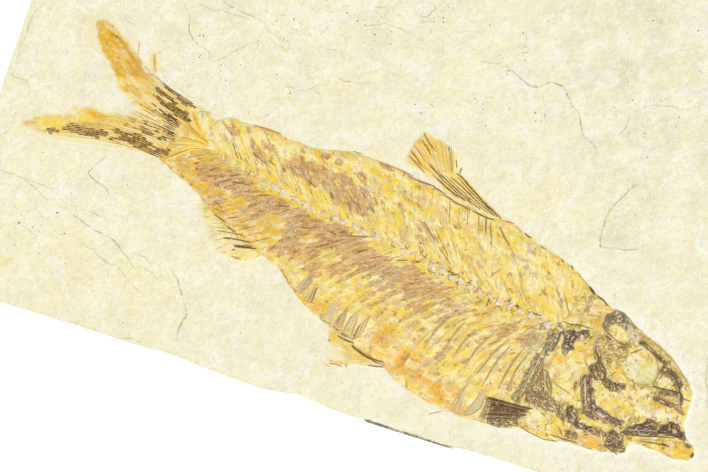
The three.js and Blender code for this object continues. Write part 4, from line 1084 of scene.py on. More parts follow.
fin_depth = np.maximum.reduce(list(REGIONS.values()))
fin_rise = 0.07 * (1 - np.exp(-np.clip(fin_depth, 0, None) / 0.6))
in_body = smooth(-0.15, 0.25, BODY_DEPTH)
stone_here = stone_colour(X_SLAB, Y_SLAB, GROOVE)
halo_ring = (0.55 * smooth(0, 0.35, halo_depth)
             + 0.30 * smooth(0.0, 0.2, halo_depth) * smooth(0.5, 0.2, halo_depth))
stone_here = mix(stone_here, HALO, halo_ring * (0.7 + 0.5 * fractal(S / 1.2, T / 1.2, 56)))
COLOUR = mix(mix(stone_here, fin_colour, fin_cover), body_colour, in_body)
COVER = np.maximum(in_body, fin_cover)
STAIN = np.where(BODY_DEPTH > 0, body_stain, -0.2)
FLOW = np.where(in_body[..., None] > 0.5, body_flow, fin_flow)
LIFT = np.where(BODY_DEPTH > 0, np.maximum(rise, fin_rise), fin_rise)
outside = np.minimum(0, np.maximum.reduce([BODY_DEPTH, fin_depth, halo_depth]))
# Outside the fish the film dips into the stone.
HEIGHT = BEDDING_PLANE + GROUND + 0.02 + LIFT + 0.45 * outside


def surface_at(s, t):
    """Height of the films' surface at points of the fish frame."""
    i = np.clip((np.asarray(s) - S_AXIS[0]) / GRID, 0, len(S_AXIS) - 1.001)
    j = np.clip((np.asarray(t) - T_AXIS[0]) / GRID, 0, len(T_AXIS) - 1.001)
    i0, j0 = i.astype(int), j.astype(int)
    fi, fj = i - i0, j - j0
    low = HEIGHT[i0, j0] * (1 - fi) + HEIGHT[i0 + 1, j0] * fi
    high = HEIGHT[i0, j0 + 1] * (1 - fi) + HEIGHT[i0 + 1, j0 + 1] * fi
    return low * (1 - fj) + high * fj


def stone_level(s, t):
    """Height of the bare stone at points of the fish frame."""
    return BEDDING_PLANE + stone_height(*part_to_slab(*fish_to_part(s, t)))


# ------------------------------------------------------------------ films, one piece for each node

# Which head piece a cell belongs to: the last of these outlines that holds it.
SKULL_EDGE = [(59.8, 9), (59.8, 0.6), (64.8, 0.2), (68.6, -2.8), (73.4, -5.4), (79.4, -5.4), (83.5, -4.8),
              (90, -3), (90, 9)]
COVER_EDGE = [(60.4, 0.6), (64.8, 0.2), (68.6, -2.8), (73.4, -5.4), (74.6, -9.7), (74.6, -12.8),
              (68, -13.6), (61.3, -12.8)]
UPPER_JAW_EDGE = [(73.4, -5.4), (79.4, -5.4), (83.5, -4.8), (90, -3), (90, -6.7), (84.6, -6.7),
                  (78.6, -9.1), (74.6, -9.7)]
LOWER_JAW_EDGE = [(74.6, -9.7), (78.6, -9.1), (84.6, -6.7), (90, -6.7), (90, -13), (74.6, -13)]
PECTORAL_EDGE = [(54.6, -13.2), (61.3, -12.8), (61.3, -16.0), (57.6, -18.2), (55.0, -17.9)]
GIRDLE_EDGE = [(59.8, 0.6), (60.4, 0.6), (61.3, -12.8), (56.0, -13.2), (58.6, -5)]


FILM_MARGIN = -0.45
HALO_MARGIN = -0.3
BACKBONE_HALF_WIDTH = 0.9
# Piece, material and slot of the film on each node.
FILMS = {
    "upper_flank": ("upper_flank_film", FLANK_FILM, "fossil_film"),
    "lower_flank": ("lower_flank_film", FLANK_FILM, "fossil_film"),
    "backbone": ("backbone_bed", FLANK_FILM, "fossil_film"),
    "belly_scutes": ("belly_keel", FLANK_FILM, "fossil_film"),
    "skull": ("skull_bones", HEAD_FILM, "fossil_bone"),
    "gill_cover": ("gill_cover_plates", HEAD_FILM, "fossil_film"),
    "upper_jaw": ("upper_jaw_bones", HEAD_FILM, "fossil_bone"),
    "lower_jaw": ("lower_jaw_bone", HEAD_FILM, "fossil_bone"),
    "throat_bones": ("throat_plates", HEAD_FILM, "fossil_bone"),
    "shoulder_girdle": ("shoulder_bones", HEAD_FILM, "fossil_bone"),
    "pectoral_fin": ("pectoral_fin_film", HEAD_FILM, "fin_film"),
    "dorsal_fin": ("dorsal_fin_film", FIN_FILM, "fin_film"),
    "anal_fin": ("anal_fin_film", FIN_FILM, "fin_film"),
    "pelvic_fin": ("pelvic_fin_film", FIN_FILM, "fin_film"),
    "tail_fin_upper_lobe": ("tail_upper_film", FIN_FILM, "fin_film"),
    "tail_fin_lower_lobe": ("tail_lower_film", FIN_FILM, "fin_film"),
}


def middle_of(field):
    """A field's value in the middle of each cell of the grid."""
    return (field[:-1, :-1] + field[1:, :-1] + field[1:, 1:] + field[:-1, 1:]) / 4


def film_owners():
    """The node that each cell of the grid belongs to, or nothing."""
    s, t = middle_of(S), middle_of(T)
    body, depth = middle_of(BODY_DEPTH), middle_of(DEPTH)
    fins = {node: middle_of(values) for node, values in REGIONS.items()}
    owner = np.full(s.shape, "", dtype="<U24")
    for node, values in fins.items():
        owner[(values > FILM_MARGIN) & (owner == "")] = node
    halo = (middle_of(halo_depth) > HALO_MARGIN) & (owner == "")
    owner[halo] = np.where(t > -1, "tail_fin_upper_lobe", "tail_fin_lower_lobe")[halo]
    strongest = np.maximum.reduce(list(fins.values()))
    in_flank = (body > FILM_MARGIN) & ((body > 0.0) | (body > strongest)) & (s > -4.2)
    owner[in_flank & (depth > BACKBONE_HALF_WIDTH)] = "upper_flank"
    owner[in_flank & (depth < -BACKBONE_HALF_WIDTH)] = "lower_flank"
    owner[in_flank & (np.abs(depth) <= BACKBONE_HALF_WIDTH) & (s < 60)] = "backbone"
    for node, edge in (("skull", SKULL_EDGE), ("gill_cover", COVER_EDGE), ("upper_jaw", UPPER_JAW_EDGE),
                       ("lower_jaw", LOWER_JAW_EDGE), ("pectoral_fin", PECTORAL_EDGE),
                       ("shoulder_girdle", GIRDLE_EDGE)):
        owner[in_flank & inside(s, t, edge)] = node
    owner[in_flank & (s > 61.3) & (t < -12.0) & (owner == "lower_flank")] = "throat_bones"
    owner[in_flank & (owner == "lower_flank") & (s > 17.5) & (t < belly_at(s) + 1.0)] = "belly_scutes"
    return owner


def film_pieces():
    owner = film_owners()
    quads = quads_of(np.arange(S.size).reshape(S.shape))
    points = np.stack([X_PART, Y_PART, HEIGHT], -1).reshape(-1, 3)
    fields = {"tint": COLOUR.reshape(-1, 3), "cover": COVER.ravel(), "flow": FLOW.reshape(-1, 3),
              "stain": STAIN.ravel(), "wiry": WIRY.ravel()}
    for node, (name, material, slot_name) in FILMS.items():
        used, renumbered = np.unique(quads[owner == node], return_inverse=True)
        new_piece(name, points[used], [renumbered.reshape(-1, 4)], material,
                  {key: values[used] for key, values in fields.items()}, node)


film_pieces()


# ------------------------------------------------------------------ fine bones laid on the films

class Strokes:
    """Thin raised bones that follow the surface, gathered into one mesh."""

    def __init__(self):
        self.points, self.colours, self.faces, self.count = [], [], [], 0

    def add(self, path, width, height, colour, ends=0.35, step=0.35, wobble=0.0, sink=0.05, rounded=True):
        """Add one bone: ends is its width at the tips as a share, sink is how deep its sides reach."""
        path = np.array(path, float)
        lengths = path_lengths(path)
        n = max(3, int(lengths[-1] / step) + 2)
        along = np.linspace(0, 1, n)
        s = np.interp(along * lengths[-1], lengths, path[:, 0])
        t = np.interp(along * lengths[-1], lengths, path[:, 1])
        if len(path) > 2:
            s, t = eased(s, 2), eased(t, 2)
        if wobble:
            waves = fractal(along * lengths[-1] / 1.1 + path[0, 0] * 7, along * 0 + path[0, 1] * 5, 99)
            s, t = s + wobble * (waves - 0.5), t + wobble * (waves - 0.5)
        ds, dt = np.gradient(s), np.gradient(t)
        size = np.hypot(ds, dt) + 1e-9
        taper = ends + (1 - ends) * np.sin(np.pi * np.clip(along, 0.02, 0.98)) ** 0.45
        half = 0.5 * width * taper
        section = [(-1, -sink), (-0.55, 0.75 * height), (0, height), (0.55, 0.75 * height), (1, -sink)]
        if not rounded:
            section = section[::2]
        base = np.maximum(surface_at(s, t), stone_level(s, t))
        rows = []
        for offset, lift in section:
            x, y = fish_to_part(s - offset * half * dt / size, t + offset * half * ds / size)
            rows.append(np.column_stack([x, y, base + lift * (taper if lift > 0 else 1)]))
        k = len(section)
        index = np.arange(n * k).reshape(n, k) + self.count
        shade = 0.92 + 0.16 * fractal(along * lengths[-1] / 0.9 + path[0, 1], along * 0 + path[0, 0], 98)
        self.faces.append(quads_of(index).reshape(-1, 4))
        self.points.append(np.stack(rows, 1).reshape(-1, 3))
        self.colours.append(np.repeat(colour * shade[:, None], k, 0))
        self.count += n * k

    def piece(self, name, material, slot_name):
        new_piece(name, np.concatenate(self.points), [np.concatenate(self.faces)], material,
                  {"tint": np.concatenate(self.colours)})


def jitter(amount):
    return rng.uniform(-amount, amount)


def pick(colours, weights):
    return colours[rng.choice(len(colours), p=np.array(weights) / np.sum(weights))]


def vertebra_at(k):
    s = FIRST_VERTEBRA + VERTEBRA_STEP * (k + 0.5)
    return s, float(backbone_at(s))


def swept(s, t, length, upward, start=0.0, curl=0.012):
    """Points of a spine or rib that starts near a vertebra and sweeps back."""
    distances = np.linspace(start, length, 7)
    reach = SPINE_REACH if upward else RIB_REACH
    depth = distances * 0.62
    sign = 1 if upward else -1
    return [(s - lean(d, reach) - curl * d * d, t + sign * d) for d in depth]


def vertebral_column():
    """Hourglass centra, low and olive at the waist, with worn pale knobs where two of them meet."""
    points, colours, faces, tips, count = [], [], [], [], 0
    around, rings = 12, 5
    for k in range(VERTEBRAE):
        s0, t0 = vertebra_at(k)
        grow = 0.34 + 0.16 * k / VERTEBRAE
        slope = math.atan2(float(backbone_at(s0 + 1) - backbone_at(s0 - 1)), 2.0)
        knob = mix(VERTEBRA, BONE_WHITE, rng.uniform(0, 0.7))
        parts = [(s0, t0, 0.62, grow * 0.8, 0.12, mix(YELLOW, GOLD, rng.uniform(0, 1)) * 0.95, GOLD * 0.85)]
        faint = 0.6 if k in FAINT_VERTEBRAE else 1.0
        parts.append((s0 + 0.5 * VERTEBRA_STEP + jitter(0.16), t0 + jitter(0.14),
                      rng.uniform(0.40, 0.80) * faint,
                      grow * rng.uniform(0.6, 1.35) * faint, 0.26, mix(knob, LILAC, 0.4) * 0.97,
                      mix(mix(CREAM, MAUVE, 0.6), BROWN, 0.5 * (k >= FIRST_CRUSHED))))
        for _ in range(rng.integers(1, 4)):
            shade = pick([VERTEBRA, BONE_WHITE, CREAM, MAUVE_PALE, MAUVE], [4, 3, 2, 2, 1])
            parts.append((s0 + 0.5 * VERTEBRA_STEP + jitter(0.5), t0 + jitter(0.36),
                          rng.uniform(0.16, 0.34) * faint,
                          grow * rng.uniform(0.35, 0.7) * faint, rng.uniform(0.24, 0.34), shade,
                          mix(shade, BROWN, rng.uniform(0.0, 0.5))))
        for ps, pt, long_radius, wide_radius, rise_by, colour, rim_colour in parts:
            turn = slope + jitter(0.7)
            angle = np.linspace(0, 2 * np.pi, around, endpoint=False)
            lumpy = 1 + 1.5 * (fractal(angle * 1.6 + ps * 3, angle * 0 + pt * 9, 97) - 0.5)
            for ring in range(rings):
                v = ring / (rings - 1)
                spread_by = (1 - v ** 1.6) * lumpy
                a = long_radius * spread_by * np.cos(angle)
                b = wide_radius * spread_by * np.sin(angle)
                s = ps + a * math.cos(turn) - b * math.sin(turn)
                t = pt + a * math.sin(turn) + b * math.cos(turn)
                x, y = fish_to_part(s, t)
                z = float(surface_at(ps, pt)) - 0.06 + rise_by * math.sin(0.5 * math.pi * v) ** 0.8
                size = around if ring < rings - 1 else 1
                points.append(np.column_stack([x, y, np.full(around, z)])[:size])
                colours.append(np.broadcast_to(mix(rim_colour, colour, smooth(0.0, 0.5, v)), (size, 3)))
            index = np.arange((rings - 1) * around).reshape(rings - 1, around) + count
            nxt = np.roll(index, -1, axis=1)
            faces.append(np.stack([index[:-1], nxt[:-1], nxt[1:], index[1:]], -1).reshape(-1, 4))
            count += (rings - 1) * around + 1
            tips.append(np.column_stack([index[-1], nxt[-1], np.full(around, count - 1)]))
    new_piece("vertebrae", np.concatenate(points), [np.concatenate(faces), np.concatenate(tips)], BONE,
              {"tint": np.concatenate(colours)})


# Stations where the spines get shorter and where the last ones stand.
SPINES_SHORTEN, LAST_UPPER_SPINE, LAST_LOWER_SPINE = 31, 47, 36


def spines_and_ribs():
    dark, pale, ribs = Strokes(), Strokes(), Strokes()
    for k in range(VERTEBRAE):
        s, t = vertebra_at(k)
        # Spines: dark broken rods near the backbone.
        for upward in (True, False):
            if s > (LAST_UPPER_SPINE if upward else LAST_LOWER_SPINE):
                continue
            for _ in range(2):
                length = rng.uniform(3.6, 7.0) if s < SPINES_SHORTEN else rng.uniform(3.0, 5.5)
                start = rng.uniform(0.6, 3.0)
                path = swept(s + jitter(0.8), t, length, upward, start=start)
                colour = pick([DARK, BROWN, MAUVE_DARK, OLIVE], [1.2, 3, 4, 1.6])
                first = rng.integers(0, 4)
                dark.add(path[first:first + rng.integers(2, 4)], rng.uniform(0.07, 0.14), 0.06, colour,
                         wobble=0.2)
        # Fine intermuscular bones: pale hairs with a few brown ones.
        for upward in (True, False):
            for _ in range(5 if upward else 4):
                span = float(back_at(s) - t) if upward else float(t - belly_at(s))
                start = rng.uniform(0.5, 0.55 * span)
                length = start + rng.uniform(2.0, 4.6)
                hair = swept(s + jitter(1.0), t, length, upward, start=start)
                colour = pick([CREAM, YELLOW, MAUVE_PALE, BROWN, GOLD], [4, 2.5, 2, 1.3, 1])
                pale.add(hair, rng.uniform(0.07, 0.12), 0.05, colour, rounded=False, wobble=0.15)
    # Dark splinters along the upper and lower edges of the front vertebrae.
    for k in range(FIRST_RIB - 1, VERTEBRAE):
        s, t = vertebra_at(k)
        for _ in range(10 if k >= FIRST_CRUSHED else 2):
            above = rng.uniform() < 0.5
            start = np.array([s + jitter(0.8), t + (0.46 if above else -0.50) + jitter(0.36)])
            turn = math.radians(rng.uniform(-35, 35) + (55 if above else -40) * rng.integers(0, 2))
            end = start + rng.uniform(0.3, 1.0) * np.array([math.cos(turn), math.sin(turn)])
            colour = pick([RAY_DARK, BROWN, OLIVE, MAUVE_DARK, CREAM, GREY_PALE], [2, 3, 3, 1.5, 2, 2])
            dark.add([start, end], rng.uniform(0.08, 0.20), 0.12, colour, step=0.25, wobble=0.3)
    # Ribs of the belly: rods that hang from the backbone and curve back, seen best in front.
    for k in range(FIRST_RIB, VERTEBRAE):
        s, t = vertebra_at(k)
        fore = (k - FIRST_RIB) / (VERTEBRAE - FIRST_RIB)
        depth = float(t - belly_at(s))
        for copy in range(2):
            top = rng.uniform(2.4, 4.2)
            low = depth * rng.uniform(0.55, 0.85)
            d = np.linspace(top, low, 9)
            sweep = lean(d, RIB_REACH) * (1.05 - 0.62 * fore)
            path = np.column_stack([s + 0.4 * copy - sweep + jitter(0.15), t - d])
            colour = (pick([MAUVE, BROWN, GREY, YELLOW], [3, 1, 1, 2]) if copy
                      else pick([CREAM, YELLOW], [2, 1]))
            cut = rng.integers(0, 4)
            ribs.add(path[cut:cut + rng.integers(4, 8)], rng.uniform(0.06, 0.11), 0.045, colour, wobble=0.2)
            if rng.uniform() < 0.55 and copy:
                cut = rng.integers(2, 6)
                ribs.add(path[cut:cut + 3], rng.uniform(0.16, 0.28), 0.05,
                         pick([MAUVE, MAUVE_PALE, GREY], [2, 2, 1]))
    dark.piece("neural_and_haemal_spines", BONE, "fossil_bone")
    pale.piece("intermuscular_bones", BONE, "fossil_bone")
    ribs.piece("ribs", BONE, "fossil_bone")


vertebral_column()
spines_and_ribs()


# Single bones that stand out, (path, width, colour) each: on the flanks, along the back, on the head.
FLANK_BONES = [
    ([(41.4, 9.4), (42.0, 8.2), (42.7, 6.9)], 0.22, MAUVE),
    ([(42.5, 9.6), (43.2, 8.2), (43.6, 7.4)], 0.26, BROWN),
    ([(43.4, 9.3), (44.4, 7.6), (45.4, 6.0)], 0.18, MAUVE_DARK),
    ([(45.0, 9.3), (46.2, 8.3), (47.6, 7.5)], 0.42, MAUVE_DARK),
    ([(47.6, 7.5), (48.4, 6.9), (49.4, 5.9)], 0.20, MAUVE),
    ([(36.2, 9.2), (37.0, 7.8), (37.6, 6.4)], 0.20, CREAM),
    ([(36.8, 9.0), (37.4, 7.6), (38.0, 6.4)], 0.16, MAUVE),
    ([(38.2, 9.2), (38.8, 8.0), (39.2, 7.0)], 0.16, MAUVE_PALE),
    ([(39.6, 9.3), (40.2, 8.0), (40.5, 7.2)], 0.16, MAUVE),
    ([(48.0, 3.8), (47.5, 2.8), (47.1, 1.9)], 0.26, MAUVE), ([(49.6, 4.0), (49.3, 3.0)], 0.16, MAUVE),
    ([(35.4, 4.3), (36.6, 3.4), (37.2, 3.0)], 0.28, MAUVE_DARK),
    ([(36.4, 4.8), (37.8, 3.6), (39.0, 2.6)], 0.16, MAUVE_DARK),
    ([(38.2, 2.4), (39.4, 1.8), (40.9, 1.0)], 0.20, MAUVE_DARK),
    ([(39.0, 2.8), (40.0, 1.9)], 0.14, BROWN), ([(44.4, 3.0), (45.2, 2.2)], 0.14, MAUVE),
    ([(40.2, 4.7), (41.4, 3.4)], 0.16, CREAM), ([(56.6, 5.2), (57.8, 4.0), (58.9, 3.2)], 0.13, BROWN),
    ([(58.0, 5.0), (59.2, 3.6), (60.2, 2.4)], 0.13, BROWN),
    ([(53.6, 6.0), (55.2, 4.4), (56.4, 3.0)], 0.10, OLIVE),
    ([(51.0, 6.6), (52.6, 5.0), (54.0, 3.4)], 0.10, CREAM),
    ([(55.2, 6.6), (56.6, 5.2), (58.0, 3.4)], 0.10, CREAM), ([(49.4, 7.4), (51.0, 5.8)], 0.10, GOLD),
    ([(7.0, 2.3), (8.4, 1.9), (9.6, 1.6)], 0.20, BROWN),
    ([(3.6, 2.2), (4.4, 1.4), (5.4, 0.5)], 0.14, BROWN), ([(10.0, 2.2), (10.9, 2.1)], 0.20, BROWN),
    ([(12.0, 2.3), (12.6, 1.8)], 0.26, BROWN), ([(16.0, 2.4), (17.6, 2.0)], 0.16, DARK),
    ([(20.0, 2.4), (20.3, 2.0), (20.8, 1.7)], 0.30, DARK_GREY), ([(24.2, 4.6), (25.2, 3.9)], 0.16, BROWN),
    ([(26.2, 3.2), (27.4, 2.4)], 0.16, BROWN), ([(22.6, 3.2), (24.8, 2.2)], 0.15, BROWN),
    ([(28.8, -2.8), (27.4, -4.1)], 0.17, DARK), ([(23.4, -4.6), (21.8, -6.0)], 0.17, DARK),
    ([(31.2, -2.7), (29.8, -3.8)], 0.15, BROWN), ([(35.0, -1.4), (33.4, -2.3)], 0.15, DARK),
    ([(28.6, -0.8), (26.2, -1.9), (25.0, -2.4)], 0.20, BROWN),
    ([(24.8, -1.9), (24.0, -2.4)], 0.36, DARK_GREY), ([(12.2, -2.2), (10.4, -3.1)], 0.20, BROWN),
    ([(15.6, -2.4), (13.6, -3.2)], 0.20, BROWN), ([(6.8, -1.5), (5.4, -2.4)], 0.2, BROWN),
    ([(7.9, -0.2), (7.8, -1.1)], 0.34, BROWN), ([(20.0, -3.8), (18.4, -4.4)], 0.18, BROWN),
    ([(9.0, -2.2), (6.2, -2.9)], 0.18, BROWN), ([(22.6, -3.0), (23.7, -2.9)], 0.3, BROWN),
    ([(59.9, 1.1), (61.0, 1.1), (62.4, 1.7), (64.0, 2.0)], 0.22, DARK_GREY),
    ([(9.6, -7.2), (8.0, -8.2)], 0.18, BROWN), ([(11.0, -7.0), (9.8, -8.0)], 0.14, BROWN),
    ([(6.0, -8.6), (8.2, -8.8)], 0.2, DARK), ([(8.6, -9.3), (10.0, -9.5)], 0.26, BROWN),
    ([(5.0, -6.8), (6.6, -7.2)], 0.2, BROWN), ([(5.2, -7.8), (7.4, -7.6)], 0.16, MAUVE_DARK),
]
BACK_EDGE = [
    ([(5.2, 6.1), (7.4, 6.4), (9.4, 6.7)], 0.30, RUST), ([(20.2, 9.4), (21.6, 9.6)], 0.14, BROWN),
    ([(25.4, 9.9), (27.8, 10.1), (30.0, 10.2)], 0.12, BROWN),
    ([(29.4, 9.8), (31.0, 9.9), (33.0, 10.2), (35.6, 10.0)], 0.26, BROWN),
    ([(35.0, 9.7), (37.6, 9.5), (40.0, 9.6)], 0.34, MAUVE_DARK),
    ([(40.2, 9.6), (42.4, 9.6), (43.8, 9.9)], 0.26, DARK_GREY),
    ([(45.4, 10.3), (45.7, 10.6), (46.6, 10.7)], 0.26, RUST), ([(46.8, 10.5), (48.4, 10.2)], 0.14, RUST),
    ([(48.6, 10.2), (49.9, 10.0)], 0.24, DARK), ([(51.8, 9.5), (52.6, 9.4)], 0.22, BROWN),
    ([(55.4, 9.3), (56.0, 9.0)], 0.22, BROWN), ([(57.1, 9.1), (57.7, 8.7)], 0.28, BROWN),
    ([(58.6, 8.5), (60.6, 7.7)], 0.13, RUST), ([(61.0, 7.5), (61.6, 7.1), (62.3, 6.8)], 0.50, DARK),
    ([(62.7, 6.9), (63.6, 6.6), (64.8, 6.2)], 0.30, DARK),
    ([(50.2, 9.6), (55.0, 9.1), (59.0, 8.2)], 0.08, OLIVE),
]
HEAD_BONES = [
    ([(65.4, 4.8), (65.5, 3.4), (66.2, 2.7), (67.6, 2.3), (69.0, 2.0), (70.4, 2.5)], 0.20, BROWN),
    ([(66.0, 6.2), (67.4, 6.3), (69.0, 5.8), (70.4, 5.1)], 0.16, BROWN),
    ([(66.6, 2.0), (67.6, 1.9)], 0.35, DARK_GREY),
    ([(69.0, 1.2), (70.0, 1.8), (70.4, 2.6)], 0.25, MAUVE_DARK),
    ([(71.0, 1.4), (71.8, 2.2), (72.4, 2.8)], 0.20, BROWN),
    ([(70.8, 4.6), (74.0, 4.4), (77.0, 3.5), (79.3, 2.3), (81.0, 1.2)], 0.14, RUST),
    ([(71.6, 3.6), (73.2, 3.2), (75.0, 2.8), (76.4, 2.3)], 0.20, DARK),
    ([(75.0, 2.6), (76.8, 2.5)], 0.30, DARK_GREY),
    ([(76.6, 1.9), (77.8, 1.6), (79.0, 1.0), (80.0, 0.3), (80.1, -0.4)], 0.22, DARK),
    ([(77.6, 2.0), (78.8, 1.4)], 0.3, DARK_GREY), ([(79.1, 0.5), (78.8, -0.3)], 0.15, BROWN),
    ([(76.9, 0.9), (76.6, -0.2)], 0.16, BROWN), ([(76.1, -1.6), (78.0, -1.1), (80.2, -0.5)], 0.30, DARK),
    ([(80.1, -0.3), (81.0, -0.9), (81.4, -2.0)], 0.45, DARK_GREY),
    ([(80.4, -0.9), (80.9, -2.0)], 0.18, GREY_PALE), ([(81.3, -1.0), (82.4, -0.9)], 0.16, DARK),
    ([(80.6, 0.6), (81.2, 0.3)], 0.20, BROWN), ([(77.0, -2.9), (78.2, -2.5), (79.4, -2.9)], 0.30, BROWN),
    ([(78.6, -2.3), (80.6, -2.7), (82.4, -3.2)], 0.42, MAUVE_DARK),
    ([(79.8, -2.4), (82.2, -2.8)], 0.16, GREY_PALE), ([(81.6, -3.6), (81.8, -4.4)], 0.20, BROWN),
    ([(74.9, 2.3), (75.9, 1.4), (76.3, 0.3), (76.1, -1.2)], 0.22, RING_DARK),
    ([(72.6, -2.3), (74.0, -2.2), (76.0, -1.7)], 0.22, RING_GOLD),
    ([(71.0, -1.2), (71.8, -2.0), (72.8, -2.4)], 0.2, RING_PALE),
    ([(66.2, -0.6), (67.0, -1.4), (68.4, -2.2), (69.4, -3.6)], 0.26, DARK_GREY),
    ([(67.2, -2.2), (68.4, -3.2), (69.0, -4.3)], 0.3, MAUVE_DARK),
    ([(66.9, -3.1), (67.4, -3.9), (68.6, -4.3)], 0.22, BROWN),
    ([(69.4, -3.6), (71.0, -3.8), (72.6, -3.5)], 0.22, DARK_GREY),
    ([(69.2, -4.5), (70.6, -4.8), (72.2, -4.6)], 0.22, BROWN),
    ([(70.2, -3.2), (71.4, -4.4)], 0.16, GREY_PALE),
    ([(67.2, -4.7), (67.9, -6.0), (68.9, -7.4), (69.6, -8.6), (70.0, -9.6)], 0.24, DARK),
    ([(65.9, -4.9), (66.8, -6.4), (67.8, -8.2), (69.0, -9.7)], 0.30, MAUVE_DARK),
    # The white stroke along the cheek bar is a painted highlight on it.
    ([(66.6, -5.0), (67.6, -6.8), (68.6, -8.6)], 0.22, BONE_WHITE),
    ([(67.1, -5.4), (68.2, -7.4), (69.2, -9.2)], 0.14, MAUVE_DARK),
    ([(70.2, -8.2), (72.0, -8.3), (74.6, -8.6)], 0.26, DARK_GREY),
    ([(70.0, -9.2), (72.0, -9.3), (74.4, -9.4)], 0.30, MAUVE),
    # The short white stroke at the foot of the cheek bar is a painted highlight.
    ([(70.4, -8.8), (71.6, -9.0)], 0.28, BONE_WHITE), ([(66.0, -5.8), (66.2, -7.4)], 0.4, MAUVE),
    ([(67.8, -9.7), (69.6, -10.0), (71.6, -10.0)], 0.15, MAUVE_DARK),
    ([(75.1, -9.8), (76.8, -9.4), (78.6, -8.7), (80.6, -7.7), (82.8, -6.9)], 0.22, DARK),
    ([(75.8, -9.0), (77.4, -8.3), (79.6, -7.2)], 0.16, GREY_PALE),
    ([(76.4, -7.9), (77.9, -7.0), (78.4, -6.4)], 0.25, DARK),
    ([(78.3, -6.4), (79.5, -6.3), (79.9, -7.0)], 0.22, MAUVE_DARK),
    ([(77.0, -8.6), (78.0, -7.8), (79.8, -7.6)], 0.2, DARK),
    ([(80.2, -7.4), (80.6, -6.2), (81.1, -5.2)], 0.22, DARK),
    ([(81.1, -5.2), (81.8, -5.0), (82.8, -5.6), (84.2, -6.2)], 0.28, DARK),
    ([(81.5, -5.2), (81.8, -6.2), (82.4, -6.8)], 0.24, DARK),
    ([(81.0, -6.4), (82.4, -6.7), (84.0, -6.4)], 0.25, DARK), ([(80.5, -4.6), (80.7, -5.4)], 0.16, BROWN),
    ([(84.4, -6.8), (85.6, -6.8)], 0.26, MAUVE_DARK),
    ([(78.6, -9.6), (80.2, -9.0), (81.6, -8.6), (82.6, -8.4)], 0.26, BROWN),
    ([(81.4, -8.5), (82.6, -8.4)], 0.36, DARK), ([(86.2, -7.6), (86.3, -8.4)], 0.55, DARK_GREY),
    ([(78.0, -10.0), (82.0, -9.6), (85.0, -9.0)], 0.12, ORANGE),
    ([(74.2, -10.4), (75.6, -10.6)], 0.14, DARK_GREY), ([(74.0, -11.0), (75.8, -11.1)], 0.14, DARK_GREY),
    ([(74.0, -11.6), (75.8, -11.7)], 0.14, DARK_GREY), ([(74.2, -12.2), (75.8, -12.2)], 0.14, DARK_GREY),
    ([(73.8, -12.6), (74.8, -12.9), (76.2, -13.0)], 0.2, DARK_GREY),
    ([(76.2, -11.6), (77.2, -12.2)], 0.14, BROWN),
    ([(64.6, -10.6), (66.2, -11.6), (67.2, -12.8)], 0.24, BROWN),
    ([(66.6, -13.4), (67.6, -14.2)], 0.2, BROWN),
    ([(61.0, -15.9), (63.0, -16.1), (65.6, -16.0), (67.0, -15.4)], 0.16, BROWN),
    ([(66.0, -14.9), (68.2, -14.6), (70.2, -14.2)], 0.26, BROWN),
    ([(65.8, -15.9), (67.4, -15.4)], 0.16, RUST), ([(70.2, -14.2), (72.4, -14.1)], 0.12, RUST),
    ([(60.2, -6.6), (61.0, -8.6), (62.0, -9.6)], 0.30, MAUVE_DARK),
    ([(60.8, -6.8), (61.6, -8.4), (62.6, -9.6)], 0.14, CREAM),
    ([(61.4, -6.9), (62.8, -8.4), (63.4, -9.8)], 0.34, MAUVE_DARK),
    ([(62.4, -7.4), (64.4, -8.0), (65.8, -8.2)], 0.12, MAUVE_DARK),
    ([(60.4, -7.0), (63.6, -8.0), (65.6, -8.0)], 0.1, BROWN),
    ([(60.2, -10.2), (62.0, -10.6), (64.0, -10.4)], 0.34, BROWN),
    ([(60.8, -11.6), (62.6, -11.2), (64.8, -11.8)], 0.34, MAUVE_DARK),
    ([(62.6, -10.2), (64.6, -11.0)], 0.2, GREY_PALE), ([(59.8, -10.6), (60.6, -12.2)], 0.3, BROWN),
    ([(60.2, -0.4), (60.6, -2.0), (60.4, -3.6)], 0.28, DARK_GREY),
    ([(59.6, -3.0), (59.0, -4.8), (59.2, -6.4)], 0.2, GREY),
    ([(58.6, -0.8), (57.4, -1.6), (56.0, -2.0), (55.2, -3.6)], 0.2, GREY),
    ([(58.9, -1.4), (57.6, -2.6), (56.6, -4.2)], 0.14, GREY_PALE),
    ([(59.6, -5.2), (59.9, -8.0), (59.6, -11.0), (59.2, -13.2)], 0.26, MAUVE_DARK),
    ([(58.8, -5.0), (58.8, -8.4), (58.9, -12.2)], 0.2, GREY),
    ([(59.2, -5.0), (59.3, -8.6), (59.2, -12.0)], 0.13, CREAM),
    ([(59.8, -2.4), (59.8, -5.4), (61.2, -8.0)], 0.22, GREY),
]
# The strongest ribs, which stand out behind the shoulder.
FRONT_RIBS = [
    [(46.9, -5.6), (46.3, -8.0), (45.9, -11.6)], [(49.0, -6.0), (48.2, -8.0), (47.7, -11.2)],
    [(51.6, -5.0), (50.4, -8.0), (49.9, -11.8)], [(53.9, -5.0), (52.8, -8.0), (52.0, -12.0)],
    [(54.6, -5.8), (53.8, -9.0), (53.6, -13.0)], [(56.6, -4.8), (56.0, -8.4), (55.9, -12.4)],
    [(57.6, -5.2), (57.0, -8.6), (57.2, -12.0)], [(44.6, -6.0), (43.6, -8.6), (43.2, -11.4)],
]
